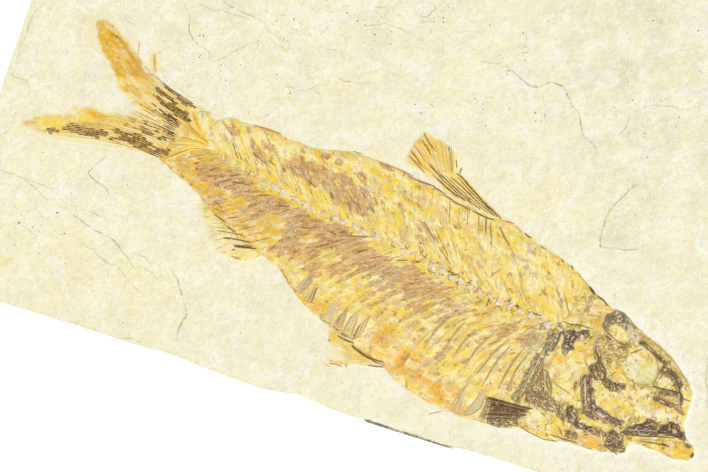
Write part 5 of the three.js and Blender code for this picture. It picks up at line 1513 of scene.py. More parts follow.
# Keel scutes whose striped arms reach up the flank: corners in order from the belly edge.
SCUTE_ARMS = [
    [(21.7, -13.1), (23.2, -13.1), (23.9, -10.6), (22.6, -10.4)],
    [(23.7, -13.9), (25.5, -13.6), (24.9, -11.2), (24.2, -11.5)],
    [(27.3, -15.3), (29.3, -15.1), (28.8, -12.8), (28.1, -11.1), (27.8, -12.8)],
    [(29.3, -15.4), (31.0, -15.4), (30.4, -11.9), (29.7, -13.4)],
    [(31.0, -15.7), (32.9, -15.8), (32.4, -12.8), (31.7, -11.0), (31.2, -13.2)],
    [(32.9, -15.9), (33.9, -14.6), (33.8, -11.4), (33.3, -11.8), (32.9, -14.0)],
    [(50.6, -18.4), (52.6, -18.4), (52.0, -16.4), (51.5, -13.5), (50.9, -14.6)],
    [(52.9, -18.2), (53.4, -18.2), (54.9, -16.2), (54.3, -10.8), (53.7, -12.0), (53.4, -16.0)],
    [(55.1, -18.0), (56.9, -17.7), (56.2, -15.6), (55.2, -14.6)],
]


HEAD_SPLINTERS = 260
EYE, EYE_RADIUS = (73.6, 0.3), 2.6
SCUTES, FIRST_SCUTE, SCUTE_STEP = 44, 18.5, 0.92


def striped_scute(strokes, corners):
    """A bundle of grey rods between the scute's foot and its pointed arm."""
    corners = np.array(corners, float)
    foot_a, foot_b = corners[0], corners[1]
    left, right = corners[-1], corners[2]
    tip = corners[np.argmax(corners[:, 1])]
    rods = 5
    for k in range(rods):
        v = (k + 0.5) / rods
        foot = foot_a + (foot_b - foot_a) * v
        mid = left + (right - left) * v
        top = mid + (tip - mid) * (0.35 + 0.55 * (1 - abs(2 * v - 1)))
        colour = pick([SCUTE, SCUTE_PALE, SCUTE_DARK, MAUVE], [3, 3, 1, 1.5]) * (0.98 + 0.16 * rng.uniform())
        slip = np.array([jitter(0.12), jitter(0.3)])
        strokes.add([foot, (foot + mid) / 2 + slip, mid, top + slip], 0.36, 0.045, colour, ends=0.35,
                    wobble=0.1)
        strokes.add([foot, (foot + mid) / 2 + slip, mid], 0.05, 0.06, mix(SCUTE_DARK, SCUTE, 0.4),
                    rounded=False)
    strokes.add([foot_a, (foot_a + foot_b) / 2 + (0, -0.1), foot_b], 0.12, 0.06, MAUVE_DARK)


def listed_bones():
    strokes = Strokes()
    for path, width, colour in FLANK_BONES:
        strokes.add(path, width, 0.10, colour, wobble=0.05)
    for path, width, colour in BACK_EDGE:
        strokes.add(path, width, 0.12, colour, wobble=0.25, step=0.25)
    for path in FRONT_RIBS:
        strokes.add(path, 0.24, 0.06, mix(GREY, MAUVE_PALE, 0.5), wobble=0.15)
        strokes.add(np.array(path) + (0.24, 0), 0.10, 0.07, CREAM, wobble=0.1)
        strokes.add(np.array(path) - (0.18, 0), 0.07, 0.06, BROWN, wobble=0.1)
    strokes.piece("flank_bones", BONE, "fossil_bone")

    head = Strokes()
    for path, width, colour in HEAD_BONES:
        head.add(path, width, 0.5 * width, colour, wobble=0.12, step=0.22)
    for _ in range(HEAD_SPLINTERS):
        s, t = rng.uniform(60, 85.5), rng.uniform(-15.6, 5.5)
        if not inside(np.array([s]), np.array([t]), BODY)[0]:
            continue
        if math.hypot(s - EYE[0], t - EYE[1]) < EYE_RADIUS:
            continue
        turn, size = rng.uniform(0, math.pi), rng.uniform(0.25, 0.9)
        end = (s + size * math.cos(turn), t + size * math.sin(turn))
        colour = pick([BROWN, MAUVE_DARK, GOLD, CREAM, RUST], [2, 2, 2, 2.4, 0.8])
        head.add([(s, t), end], rng.uniform(0.1, 0.24), 0.06, colour, step=0.2)
    head.piece("head_bones", BONE, "fossil_bone")

    scutes = Strokes()
    for corners in SCUTE_ARMS:
        striped_scute(scutes, corners)
    for k in range(SCUTES):
        s = FIRST_SCUTE + k * SCUTE_STEP + jitter(0.1)
        t = float(belly_at(s))
        if s < 57 and noise(np.array([s / 2.6]), np.array([3.0]), 171)[0] > (0.42 if s < 36 else 0.55):
            scutes.add([(s, t + 0.30), (s + 0.5, t + 0.12), (s + 1.1, float(belly_at(s + 1.1)) + 0.16)],
                       0.16, 0.08,
                       pick([RUST, MAUVE_PALE, ORANGE, BROWN], [2, 2, 2, 1.2]), step=0.25)
            scutes.add([(s, t + 0.75), (s + 1.0, float(belly_at(s + 1.0)) + 0.62)], 0.12, 0.06,
                       pick([YELLOW, MAUVE, ORANGE], [2, 1, 2]), step=0.25)
    scutes.add([(30.8, -16.3), (32.2, -16.4), (33.4, -16.2)], 0.30, 0.14, DARK_GREY)
    scutes.add([(31.0, -15.8), (32.4, -15.7)], 0.5, 0.12, GREY * 0.8)
    scutes.add([(49.9, -19.2), (49.2, -19.8), (48.3, -20.6)], 0.16, 0.06, RUST)
    scutes.piece("scute_arms", BONE, "fossil_bone")


listed_bones()


# ------------------------------------------------------------------ fin rays

# Areas of the tail's lobes where the rays' segments are kept: dark, thin and brown ones.
UPPER_DARK = [
    [(-3.6, 4.2), (-4.8, 4.9), (-7.6, 5.3), (-10.4, 5.7), (-9.2, 5.0), (-7.4, 4.5), (-5.2, 3.9)],
    [(-3.6, 1.9), (-3.7, 2.6), (-4.8, 3.3), (-6.0, 3.2), (-7.0, 3.9), (-9.4, 4.3), (-10.9, 4.7),
     (-11.4, 3.5), (-9.8, 2.9), (-8.6, 2.4), (-7.0, 2.2), (-5.0, 1.7)],
    [(-5.2, 0.8), (-6.4, 0.5), (-8.0, 1.4), (-7.4, 1.9), (-5.4, 1.4)],
]
UPPER_THIN = [[(-4.4, -0.2), (-5.0, 0.8), (-8.4, 1.4), (-12.4, 1.0), (-12.8, -0.4), (-8.8, -0.9)]]
LOWER_DARK = [
    [(-3.9, -2.7), (-4.0, -3.5), (-5.2, -4.9), (-9.0, -5.2), (-11.0, -5.0), (-14.8, -6.5), (-17.0, -7.1),
     (-19.8, -7.8), (-21.4, -9.1), (-23.3, -8.8), (-23.2, -8.4), (-20.4, -7.7), (-19.8, -6.3),
     (-17.0, -5.7), (-14.8, -5.0), (-13.0, -5.2), (-11.0, -4.6), (-12.4, -4.3), (-11.0, -3.6), (-9.6, -3.0),
     (-8.0, -3.3), (-6.0, -3.5)],
    [(-5.6, -1.5), (-9.3, -2.1), (-9.3, -2.6), (-5.7, -2.2)],
    [(-12.9, -3.8), (-14.2, -4.0), (-14.0, -4.4), (-12.4, -4.4), (-11.0, -3.9)],
]
LOWER_THIN = [[(-4.6, -0.2), (-5.4, -1.6), (-9.0, -2.6), (-13.0, -3.0), (-12.6, -0.8), (-8.8, -0.3)]]
BROWN_UPPER = [(-22.0, 9.5), (-20.2, 9.7), (-18.0, 7.6), (-17.2, 5.6), (-18.6, 5.4), (-20.4, 6.6)]


def lobe_rays(strokes, inner, outer, count, ends_at, dark_areas, thin_areas, brown_area):
    """Segmented rays that fan from the tail base; the inner ones are shorter."""
    inner, outer = np.array(inner, float), np.array(outer, float)
    u = np.linspace(0, 1, 60)

    def along(curve):
        station = np.linspace(0, 1, len(curve))
        return np.column_stack([np.interp(u, station, curve[:, k]) for k in range(2)])

    low, high = along(inner), along(outer)
    for k in range(count):
        v = (k + 0.5) / count
        path = low * (1 - v) + high * v
        reach = ends_at(v) * rng.uniform(0.94, 1.02)
        path = path[u <= reach]
        lengths = path_lengths(path)
        position = rng.uniform(0, 0.3)
        while position < lengths[-1] - 0.2:
            size = rng.uniform(0.46, 0.80)
            ends = [position, min(position + size, lengths[-1])]
            points = np.column_stack([np.interp(ends, lengths, path[:, c]) for c in range(2)])
            s, t = points.mean(0)
            blot = noise(np.array([s / 0.8]), np.array([t / 0.5]), 131)[0]
            at = (np.array([s]), np.array([t + jitter(0.12)]))
            dark = any(inside(*at, area)[0] for area in dark_areas)
            thin = any(inside(*at, area)[0] for area in thin_areas)
            brown = bool(brown_area) and inside(*at, brown_area)[0]
            far = position / lengths[-1]
            width = 0.28 * (1 - 0.36 * far)
            if dark and blot > 0.25:
                colour = pick([RAY_DARK, BROWN, DARK_GREY, MAUVE_DARK], [6, 2.4, 1, 1])
                strokes.add(points, width * rng.uniform(0.76, 1.08), 0.12, colour, ends=0.8, step=0.25)
            elif thin and blot > 0.48:
                strokes.add(points, width * 0.6, 0.09, pick([BROWN, DARK, MAUVE_DARK], [2, 1, 2]), ends=0.8,
                            step=0.25)
            elif brown and blot > 0.52:
                strokes.add(points, width * 0.7, 0.09, pick([MAUVE_DARK, BROWN, GREY_PALE], [3, 1, 2]),
                            ends=0.8, step=0.25)
            position += size + 0.07
        # The ray itself: a long hair, pale on one side and golden brown on the other.
        near = int(0.12 * len(path))
        middle = int(0.62 * len(path))
        strokes.add(path[near:middle], 0.10, 0.05, pick([CREAM, YELLOW, STONE_PALE], [2, 1, 2]), step=0.5,
                    wobble=0.1, rounded=False)
        strokes.add(path[middle - 1:], 0.08, 0.05, pick([GOLD, HAIR_GOLD, YELLOW], [3, 2, 2]), step=0.5,
                    wobble=0.1, rounded=False)
        shifted = path[near:int(len(path) * rng.uniform(0.6, 0.95))] + (0, 0.13)
        strokes.add(shifted, 0.08, 0.05, pick([HAIR_GOLD, HAIR_BROWN, MAUVE], [3, 2, 1]), step=0.5,
                    wobble=0.1, rounded=False)
    return strokes


def tail():
    upper = lobe_rays(Strokes(), [(-3.2, 0.4), (-8.0, 0.7), (-12.4, 1.6), (-17.6, 4.4), (-21.4, 6.8)],
                      [(-3.6, 4.7), (-9.0, 5.3), (-14.0, 6.8), (-18.6, 9.3), (-21.8, 10.0)], 17,
                      lambda v: 0.52 + 0.48 * v ** 0.5, UPPER_DARK, UPPER_THIN, BROWN_UPPER)
    upper.add([(-4.8, 4.8), (-7.6, 5.0), (-10.2, 5.4)], 0.16, 0.12, DARK)
    upper.piece("tail_upper_rays", RAY_BONE, "fin_film")
    lower = lobe_rays(Strokes(), [(-3.2, -0.4), (-8.0, -0.5), (-13.0, -1.4), (-18.4, -3.6), (-22.8, -6.8)],
                      [(-3.6, -5.1), (-9.4, -5.4), (-15.0, -6.9), (-20.4, -9.0), (-24.6, -9.8)], 17,
                      lambda v: 0.50 + 0.50 * v ** 0.6, LOWER_DARK, LOWER_THIN, None)
    lower.piece("tail_lower_rays", RAY_BONE, "fin_film")

    # Unbranched rays between the lobes, thin and dark, each broken once or twice.
    middle = Strokes()
    for k in range(13):
        v = k / 12
        start = np.array([-4.2 - 0.8 * math.sin(math.pi * v), 1.3 - 2.9 * v])
        tip = np.array([-10.6 - 3.2 * rng.uniform(), 2.6 - 6.0 * v + jitter(0.2)])
        cuts = np.sort(rng.uniform(0.1, 0.9, 3))
        for low, high in ((0.0, cuts[0]), (cuts[0] + 0.05, cuts[1]), (cuts[1] + 0.05, cuts[2])):
            colour = pick([RAY_DARK, BROWN, MAUVE_DARK, MAUVE], [3, 3, 1.5, 1])
            ends = [start + (tip - start) * low, start + (tip - start) * high]
            middle.add(ends, rng.uniform(0.12, 0.26), 0.08, colour, ends=0.3, wobble=0.15)
    # A bone that drifted off the upper lobe.
    middle.add([(-13.1, 8.9), (-12.6, 7.6), (-11.5, 6.2)], 1.20, 0.07, FLAKE_BUFF, ends=0.3, wobble=0.5,
               sink=0.01)
    middle.add([(-12.9, 8.7), (-12.4, 7.6), (-11.6, 6.5)], 0.70, 0.14, FLAKE_AMBER, ends=0.4, wobble=0.3)
    middle.add([(-12.6, 8.4), (-12.1, 7.5), (-11.8, 6.9)], 0.22, 0.20, FLAKE_PINK)
    middle.add([(-12.7, 9.3), (-11.9, 9.2)], 0.60, 0.08, FLAKE_YELLOW)
    middle.add([(-13.9, 6.5), (-13.3, 5.9), (-12.4, 5.7)], 0.5, 0.08, FLAKE_CREAM)
    middle.add([(-11.2, 7.2), (-10.6, 6.6)], 0.5, 0.08, FLAKE_BRIGHT)
    middle.add([(-15.8, 9.4), (-15.0, 7.2)], 0.16, 0.07, OLIVE, wobble=0.2)
    middle.add([(-12.5, 5.7), (-11.2, 5.8), (-10.0, 5.5)], 0.12, 0.07, FLAKE_OLIVE, wobble=0.2)
    middle.piece("tail_middle_rays", RAY_BONE, "fin_film")

    # Fan of slender bones at the tail base that the rays spring from.
    fan = Strokes()
    for k in range(27):
        v = k / 26
        start = np.array([0.6 - 1.0 * abs(v - 0.5), 0.9 - 1.4 * v])
        tip = np.array([-4.0 + 0.5 * jitter(1.0), 4.6 - 9.4 * v])
        bend = np.array([-1.6, (start[1] + 0.62 * tip[1]) / 2 + 0.1])
        colour = pick([GOLD, YELLOW, DEEP_GOLD], [4, 2, 3])
        fan.add([start, bend, tip], 0.26, 0.05, colour, ends=0.4, wobble=0.2)
        if k % 3 == 1:
            fan.add([start, bend, tip], 0.07, 0.07, pick([HAIR_BROWN, OLIVE, MAUVE], [1, 2, 1]),
                    rounded=False,
                    wobble=0.3)
    fan.add([(-2.6, 0.1), (-1.4, 0.0)], 1.0, 0.05, CREAM, ends=0.1)
    fan.add([(0.2, 1.6), (0.8, 1.6)], 0.5, 0.22, BONE_WHITE, ends=0.5)
    fan.piece("hypural_fan", BONE, "fossil_bone")


def other_fins():
    dorsal = Strokes()
    # Leading rays are stout and dark; they lie back over one another.
    leading = [
        ([(44.6, 10.3), (42.0, 11.0), (39.6, 11.8), (37.0, 12.9), (35.6, 13.3)], 0.46, DARK),
        ([(44.0, 10.2), (41.4, 10.9), (38.6, 11.8), (36.0, 12.8)], 0.30, BROWN),
        ([(43.4, 10.2), (40.6, 10.8), (37.6, 11.7), (35.0, 12.4)], 0.30, DARK),
        ([(42.4, 10.1), (39.6, 10.7), (36.8, 11.4), (34.2, 12.2)], 0.26, BROWN),
        ([(41.2, 10.1), (38.2, 10.7), (35.4, 11.5), (33.0, 12.2)], 0.30, DARK),
        ([(40.0, 10.1), (37.2, 10.6), (34.2, 11.4), (31.2, 12.7)], 0.24, DARK),
        ([(38.6, 10.1), (36.0, 10.5), (33.4, 11.2)], 0.26, DARK),
        ([(37.4, 10.1), (35.0, 10.6), (32.4, 11.5)], 0.22, BROWN),
    ]
    for path, width, colour in leading:
        path = np.array(path) + (0, 0.25)
        dorsal.add(path, width * 0.62, 0.16, colour, ends=0.45, wobble=0.15)
        dorsal.add(path + (0.1, 0.22), width * 0.45, 0.12, pick([GOLD, YELLOW, CREAM], [1, 1, 1]),
                   rounded=False)
    # Trailing halves of the rays: fine, branched and orange-brown.
    for k in range(26):
        v = k / 25
        start = np.array([35.4 - 3.6 * v, 13.6 - 1.8 * v])
        tip = np.array([34.2 - 6.6 * v ** 0.8,
                        16.4 + 0.6 * math.sin(3.0 * v) - 5.0 * max(0, v - 0.45) ** 1.0 * 1.7])
        bend = (start + tip) / 2 + (0.1, -0.15)
        colour = pick([RUST, MAUVE, GOLD, BROWN, CREAM], [1, 2, 3, 0.8, 2])
        dorsal.add([start, bend, tip], rng.uniform(0.08, 0.16), 0.06, colour, ends=0.4, wobble=0.1)
    for path in ([(28.4, 16.6), (29.4, 15.9), (31.2, 15.0)], [(28.6, 15.6), (30.0, 14.8), (30.8, 14.2)],
                 [(27.9, 14.4), (29.4, 13.6), (30.6, 12.9)], [(27.9, 13.4), (29.2, 12.8), (30.4, 12.1)],
                 [(28.0, 12.6), (29.6, 12.0), (31.2, 11.4)], [(35.2, 14.2), (34.6, 15.2)],
                 [(36.0, 13.6), (35.8, 14.6)],
                 [(32.6, 16.4), (33.2, 16.0)], [(31.2, 12.7), (32.8, 12.2), (34.6, 11.9)]):
        dorsal.add(path, 0.24, 0.10, pick([BROWN, MAUVE_DARK, RUST], [2, 1, 1]))
    dorsal.piece("dorsal_fin_rays", RAY_BONE, "fin_film")

    anal = Strokes()
    strong = [([(13.9, -10.3), (12.4, -10.9), (10.9, -11.5)], 0.30, DARK),
              ([(13.2, -10.3), (11.8, -10.9), (10.6, -11.4)], 0.22, BROWN),
              ([(12.8, -9.8), (10.8, -10.4), (9.0, -10.9)], 0.20, DARK),
              ([(9.8, -10.8), (8.8, -11.2)], 0.16, BROWN),
              ([(11.2, -11.9), (10.8, -12.1)], 0.28, BROWN),
              ([(12.6, -12.8), (11.2, -13.0)], 0.20, MAUVE_DARK),
              ([(11.4, -9.4), (9.2, -10.0), (7.4, -10.6)], 0.14, BROWN),
              ([(10.0, -9.2), (8.0, -9.9), (6.2, -10.6)], 0.14, OLIVE)]
    for path, width, colour in strong:
        anal.add(path, width, 0.13, colour, ends=0.6)
    for k in range(16):
        v = k / 15
        base_s = 14.2 - 10.2 * v
        start = np.array([base_s, float(belly_at(base_s)) + 0.5])
        tip = start + np.array([-3.2 + 0.9 * v, -2.7 + 1.4 * v])
        anal.add([start, (start + tip) / 2 + (0.1, -0.1), 0.15 * start + 0.85 * tip], 0.11, 0.04,
                 pick([YELLOW, OLIVE, GOLD, MAUVE_PALE], [2, 2, 2, 1]),
                 rounded=False)
        inward = start + np.array([2.2, 2.0])
        anal.add([start + (0.1, 0.2), inward], 0.11, 0.06, pick([BROWN, OLIVE, MAUVE, CREAM], [0.7, 2, 1, 2]))
    anal.piece("anal_fin_rays", RAY_BONE, "fin_film")

    pelvic = Strokes()
    for path, width, colour in [([(33.3, -16.6), (34.6, -16.9), (36.6, -17.1), (38.8, -16.7)], 0.34, BROWN),
                                ([(33.4, -16.8), (35.6, -17.2), (38.2, -17.2)], 0.22, DARK),
                                ([(36.8, -18.2), (38.0, -17.8), (39.0, -17.4)], 0.20, DARK_GREY),
                                ([(29.8, -17.4), (30.2, -17.6)], 0.3, MAUVE_DARK),
                                ([(31.6, -20.6), (32.6, -20.2), (33.6, -20.2)], 0.2, RUST),
                                ([(33.8, -19.4), (34.1, -20.0)], 0.16, MAUVE_DARK),
                                ([(31.0, -21.0), (32.0, -20.9)], 0.2, ORANGE)]:
        pelvic.add(path, width, 0.13, colour)
    for k in range(8):
        v = k / 7
        tip = np.array([29.4 + 4.4 * v, -17.0 - 3.0 * v])
        pelvic.add([(38.4 - 1.2 * v, -17.2 - 0.5 * v), (34.6, -17.4 - 0.9 * v), tip], 0.12, 0.04,
                   pick([YELLOW, GOLD, CREAM], [2, 1, 2]),
                   rounded=False)
    pelvic.piece("pelvic_fin_rays", RAY_BONE, "fin_film")

    pectoral = Strokes()
    for k in range(15):
        v = k / 14
        start = np.array([61.2 - 0.3 * v + jitter(0.5), -13.0 - 1.9 * v])
        tip = np.array([55.3 + 0.6 * v + jitter(0.4), -14.4 - 3.0 * v])
        bend = (start + tip) / 2 + (jitter(0.3), 0.1 + jitter(0.12))
        pectoral.add([start, bend, tip], rng.uniform(0.12, 0.26), 0.12,
                     pick([DARK, BROWN, GREY, RAY_DARK, DULL_GOLD], [3, 2, 1.2, 2, 1.6]), ends=0.3,
                     wobble=0.12)
    pectoral.add([(61.8, -12.7), (60.2, -13.2), (57.6, -13.7), (55.0, -14.2)], 0.34, 0.20, DARK)
    pectoral.piece("pectoral_fin_rays", RAY_BONE, "fin_film")


tail()
other_fins()


# ------------------------------------------------------------------ the slab

# How far the sides are worn in: (height, wear).
LAYERS = [
    (0.0, 0.9), (0.8, 0.3), (2.8, 0.1), (4.4, 0.4), (6.2, 0.1), (8.0, 0.3), (9.0, 0.45),
]
RIM_WEAR = 0.60
# How far the front edge is worn in: (distance from the left corner, wear).
FRONT_WEAR = [
    (0, 0.5), (11, 0.48), (22, 0.55), (27, 0.42), (33, 0.4), (36, 0.6), (39, 0.5), (42, 0.1), (45, 0.05),
    (48, -0.2), (52, -0.25), (55, 0.1), (57.5, 0.5), (62, -0.1), (66.5, -0.3), (68.5, 0.02), (75, -0.1),
    (80, -0.2), (83, 0), (90, 0), (128, 0.3),
]
# Just below the top, a layer sticks out of the front edge as a ledge between these distances.
LEDGE_START, LEDGE_END, LEDGE_DEPTH = 67.5, 82.5, 0.46
# The left edge leans: its back end lies this much further in.
LEFT_EDGE_LEAN = 2.3
LEFT_WEAR = 0.24
# One cell of the underside spans this many cells of the top.
UNDER_STEP = 5
# (name, length, number of points, radius of its corners)
SIDES = [("front", SLAB_LENGTH, 320, 1.5), ("right", SLAB_WIDTH, 215, 2.5),
         ("back", SLAB_LENGTH, 320, 3.5), ("left", SLAB_WIDTH, 215, 2.0)]


def slab_ring(height, layer_wear, top):
    """The slab's outline at a height, as four sides counterclockwise from the front left corner."""
    ring = []
    for k, (name, length, count, radius) in enumerate(SIDES):
        skip = radius * (1 - math.sqrt(0.5))
        along = skip + (length - 2 * skip) * np.arange(count) / count
        in_corner = np.clip(radius - np.minimum(along, length - along), 0, None)
        corner = radius - np.sqrt(radius ** 2 - in_corner ** 2)
        calm = smooth(0.0, 4.0, np.minimum(along, length - along))
        if top:
            chips = 0.14 * (fractal(along / 1.7 + 40 * k, np.full(count, 3.0), 151, 4) - 0.5)
            inset = corner + chips + (layer_wear if name in ("right", "back") else 0.0)
        else:
            layer = math.floor(height / 0.9)
            chips = 0.30 * fractal(along / 1.7 + 40 * k, np.full(count, height / 1.3), 151, 4)
            chips += 0.75 * smooth(0.42, 0.62,
                                   fractal(along / 6.0 + 40 * k, np.full(count, layer * 3.7), 154, 3))
            chips += 0.30 * fractal(along / 0.7 + 40 * k, np.full(count, layer * 5.3), 155, 3)
            chips += 0.25 * smooth(0.55, 0.8,
                                   fractal(along / 5.0 + 40 * k, np.full(count, height / 2.2), 152, 2))
            inset = corner + layer_wear + 0.3 + (chips - 0.3) * calm
        if name == "left":
            inset = inset + LEFT_WEAR
        if name == "front":
            worn = np.interp(along, *np.array(FRONT_WEAR).T)
            inset += worn
            ledge = smooth(LEDGE_START - 0.8, LEDGE_START + 0.8, along)
            ledge = ledge * smooth(LEDGE_END + 0.8, LEDGE_END - 0.8, along)
            if not top:
                edge_here = worn - LEDGE_DEPTH * smooth(6.8, 7.4, height)
                inset = inset * (1 - ledge) + np.clip(edge_here, -0.62, None) * ledge
            inset = np.clip(inset, -0.52, None)
        x, y = [(along, inset), (SLAB_LENGTH - inset, along), (SLAB_LENGTH - along, SLAB_WIDTH - inset),
                (inset, SLAB_WIDTH - along)][k]
        x = x + LEFT_EDGE_LEAN * (y / SLAB_WIDTH) * (1 - x / SLAB_LENGTH)
        ring.append(np.column_stack([x, y, np.full(count, height)]))
    return ring


def stretched_grid(front, back, left, right):
    """A grid of points stretched between four sides that meet at their ends (a Coons patch)."""
    u = np.linspace(0, 1, len(front))[:, None, None]
    v = np.linspace(0, 1, len(left))[None, :, None]
    return (front[:, None] * (1 - v) + back[:, None] * v + left[None] * (1 - u) + right[None] * u
            - (front[:1, None] * (1 - u) * (1 - v) + front[-1:, None] * u * (1 - v)
               + back[:1, None] * (1 - u) * v + back[-1:, None] * u * v))


def slab_top(rim_sides):
    """Points and colours of the top, a grid between the four sides of its rim."""
    front, right, back, left = [np.vstack([side, after[:1]])[:, :2]
                                for side, after in zip(rim_sides, rim_sides[1:] + rim_sides[:1])]
    grid = stretched_grid(front, back[::-1], left[::-1], right)
    x, y = grid[..., 0], grid[..., 1]
    s, t = slab_to_fish(x, y)
    edge = depth_in(s, t, BODY)
    groove = head_groove(s, t, edge)
    lift = stone_height(x, y) - 0.10 * groove
    lift = lift - 0.10 * smooth(0.3, 1.0, edge)
    from_rim = np.minimum.reduce([x, SLAB_LENGTH - x, y, SLAB_WIDTH - y])
    z = BEDDING_PLANE + lift - 0.05 * np.exp(-np.clip(from_rim - 0.2, 0, None) / 0.3)
    colour = stone_colour(x, y, groove)
    # A painted shadow greys the front row of the top in patches along the front edge.
    rim_shadow = smooth(0.38, 0.62, fractal(x[:, :1] / 6.0, y[:, :1], 156, 3)) * smooth(15, 30, x[:, :1])
    colour[:, :1] = mix(colour[:, :1], FRONT_RIM_PAINTED_SHADOW, 0.7 * rim_shadow)
    return np.stack([x, y, z], -1), colour


def on_the_ledge(ring):
    """How far each point of a ring lies on the ledge, whose colour is a painted shadow."""
    height = ring[0, 2]
    along = (smooth(LEDGE_START - 0.3, LEDGE_START + 0.9, ring[:, 0])
             * smooth(LEDGE_END, LEDGE_END - 2, ring[:, 0]))
    return along * (ring[:, 1] < 3) * smooth(7.0, 7.8, height) * smooth(8.9, 8.7, height)


def underside(outline, outline_index, count):
    """Points and faces of a coarse grid inside the bottom outline, joined to it by many-sided cells."""
    across, deep = SIDES[0][2], SIDES[1][2]
    nu, nv = across // UNDER_STEP, deep // UNDER_STEP
    total = len(outline)
    iu, iv = np.arange(nu + 1) * UNDER_STEP, np.arange(nv + 1) * UNDER_STEP
    sides = [iu, 2 * across + deep - iu, (2 * (across + deep) - iv) % total, across + iv]
    inner = stretched_grid(*[outline[side] for side in sides])[1:-1, 1:-1].reshape(-1, 3)
    inner[:, 2] = 0.16 * fractal(inner[:, 0] / 5, inner[:, 1] / 5, 153, 4)
    index = np.arange(len(inner)).reshape(nu - 1, nv - 1) + count
    cells = np.stack([index[:-1, :-1], index[:-1, 1:], index[1:, 1:], index[1:, :-1]], -1)
    # Cells along the outline, one fan of triangles each.
    rim_cells = ([(i, 0, i + 1, 0) for i in range(nu)] + [(nu, j, nu, j + 1) for j in range(nv)]
                 + [(i + 1, nv, i, nv) for i in reversed(range(nu))]
                 + [(0, j + 1, 0, j) for j in reversed(range(nv))])
    triangles = []
    for cell, (i0, j0, i1, j1) in enumerate(rim_cells):
        start = cell * UNDER_STEP
        a = index[np.clip(i0, 1, nu - 1) - 1, np.clip(j0, 1, nv - 1) - 1]
        b = index[np.clip(i1, 1, nu - 1) - 1, np.clip(j1, 1, nv - 1) - 1]
        for k in range(start, start + UNDER_STEP):
            triangles.append((a, outline_index[(k + 1) % total], outline_index[k]))
        if a != b:
            triangles.append((a, b, outline_index[(start + UNDER_STEP) % total]))
    return inner, cells.reshape(-1, 4), np.array(triangles)


# Heights of the rings of points round the sides; those above the last layer follow the rim.
RING_HEIGHTS = [0.0, 0.25, 0.8, 1.5, 1.55, 2.3, 2.8, 3.4, 3.45, 4.1, 5.0, 5.6, 5.65, 6.2, 6.9, 7.4, 7.45, 8.0,
                8.40, 8.45, 8.70, 8.79]
LAST_LAYER = 8.47


def slab():
    wear = np.interp(RING_HEIGHTS, *np.array(LAYERS).T)
    rings = [np.concatenate(slab_ring(h, w, h > LAST_LAYER)) for h, w in zip(RING_HEIGHTS, wear)]
    top_points, top_colour = slab_top(slab_ring(SLAB_TOP, RIM_WEAR, True))
    count = top_points.shape[0] * top_points.shape[1]
    top_index = np.arange(count).reshape(top_points.shape[:2])
    rim = np.concatenate([top_index[:-1, 0], top_index[-1, :-1], top_index[:0:-1, -1], top_index[0, :0:-1]])

    points, colours, side = [top_points.reshape(-1, 3)], [top_colour.reshape(-1, 3)], [np.zeros(count)]
    faces = [quads_of(top_index).reshape(-1, 4)]
    above = rim
    for ring in rings[::-1]:
        weathered = np.clip((ring[0, 2] - 8.2) / 0.4, 0, 1)
        on_ledge = on_the_ledge(ring)
        index = np.arange(len(ring)) + count
        faces.append(np.stack([index, np.roll(index, -1), np.roll(above, -1), above], -1))
        points.append(ring)
        # The ledge is painted dark as the shadow under the top's edge.
        colours.append(mix(np.broadcast_to(STONE, (len(ring), 3)), LEDGE_PAINTED_SHADOW, on_ledge))
        side.append((1 - weathered) * (1 - on_ledge))
        count += len(ring)
        above = index
    inner, cells, fans = underside(rings[0], above, count)
    points.append(inner)
    # Somewhere else in the pattern of the top's colours, so the two faces differ.
    colours.append(stone_colour(inner[:, 0] + 150, inner[:, 1]) * 0.93)
    side.append(np.zeros(len(inner)))
    points = np.concatenate(points)
    points[:, :2] += SLAB_CORNER
    piece = new_piece("slab_stone", points, [np.concatenate(faces + [cells]), fans], LIMESTONE,
                      {"tint": np.concatenate(colours), "side": np.concatenate(side)}, "slab")
    # The rim is a crisp edge, so the top's shading runs up to it.
    ends = np.empty(2 * len(piece.data.edges), np.int32)
    piece.data.edges.foreach_get("vertices", ends)
    crisp = np.isin(ends.reshape(-1, 2), rim).all(1)
    piece.data.attributes.new("sharp_edge", "BOOLEAN", "EDGE").data.foreach_set("value", crisp)


def stone_marks(name, points, colours, faces):
    """One piece of small marks that lie on the slab's top."""
    points = np.concatenate(points)
    points[:, :2] += SLAB_CORNER
    new_piece(name, points, [np.concatenate(faces)], LIMESTONE,
              {"tint": np.concatenate(colours), "side": np.zeros(len(points))})


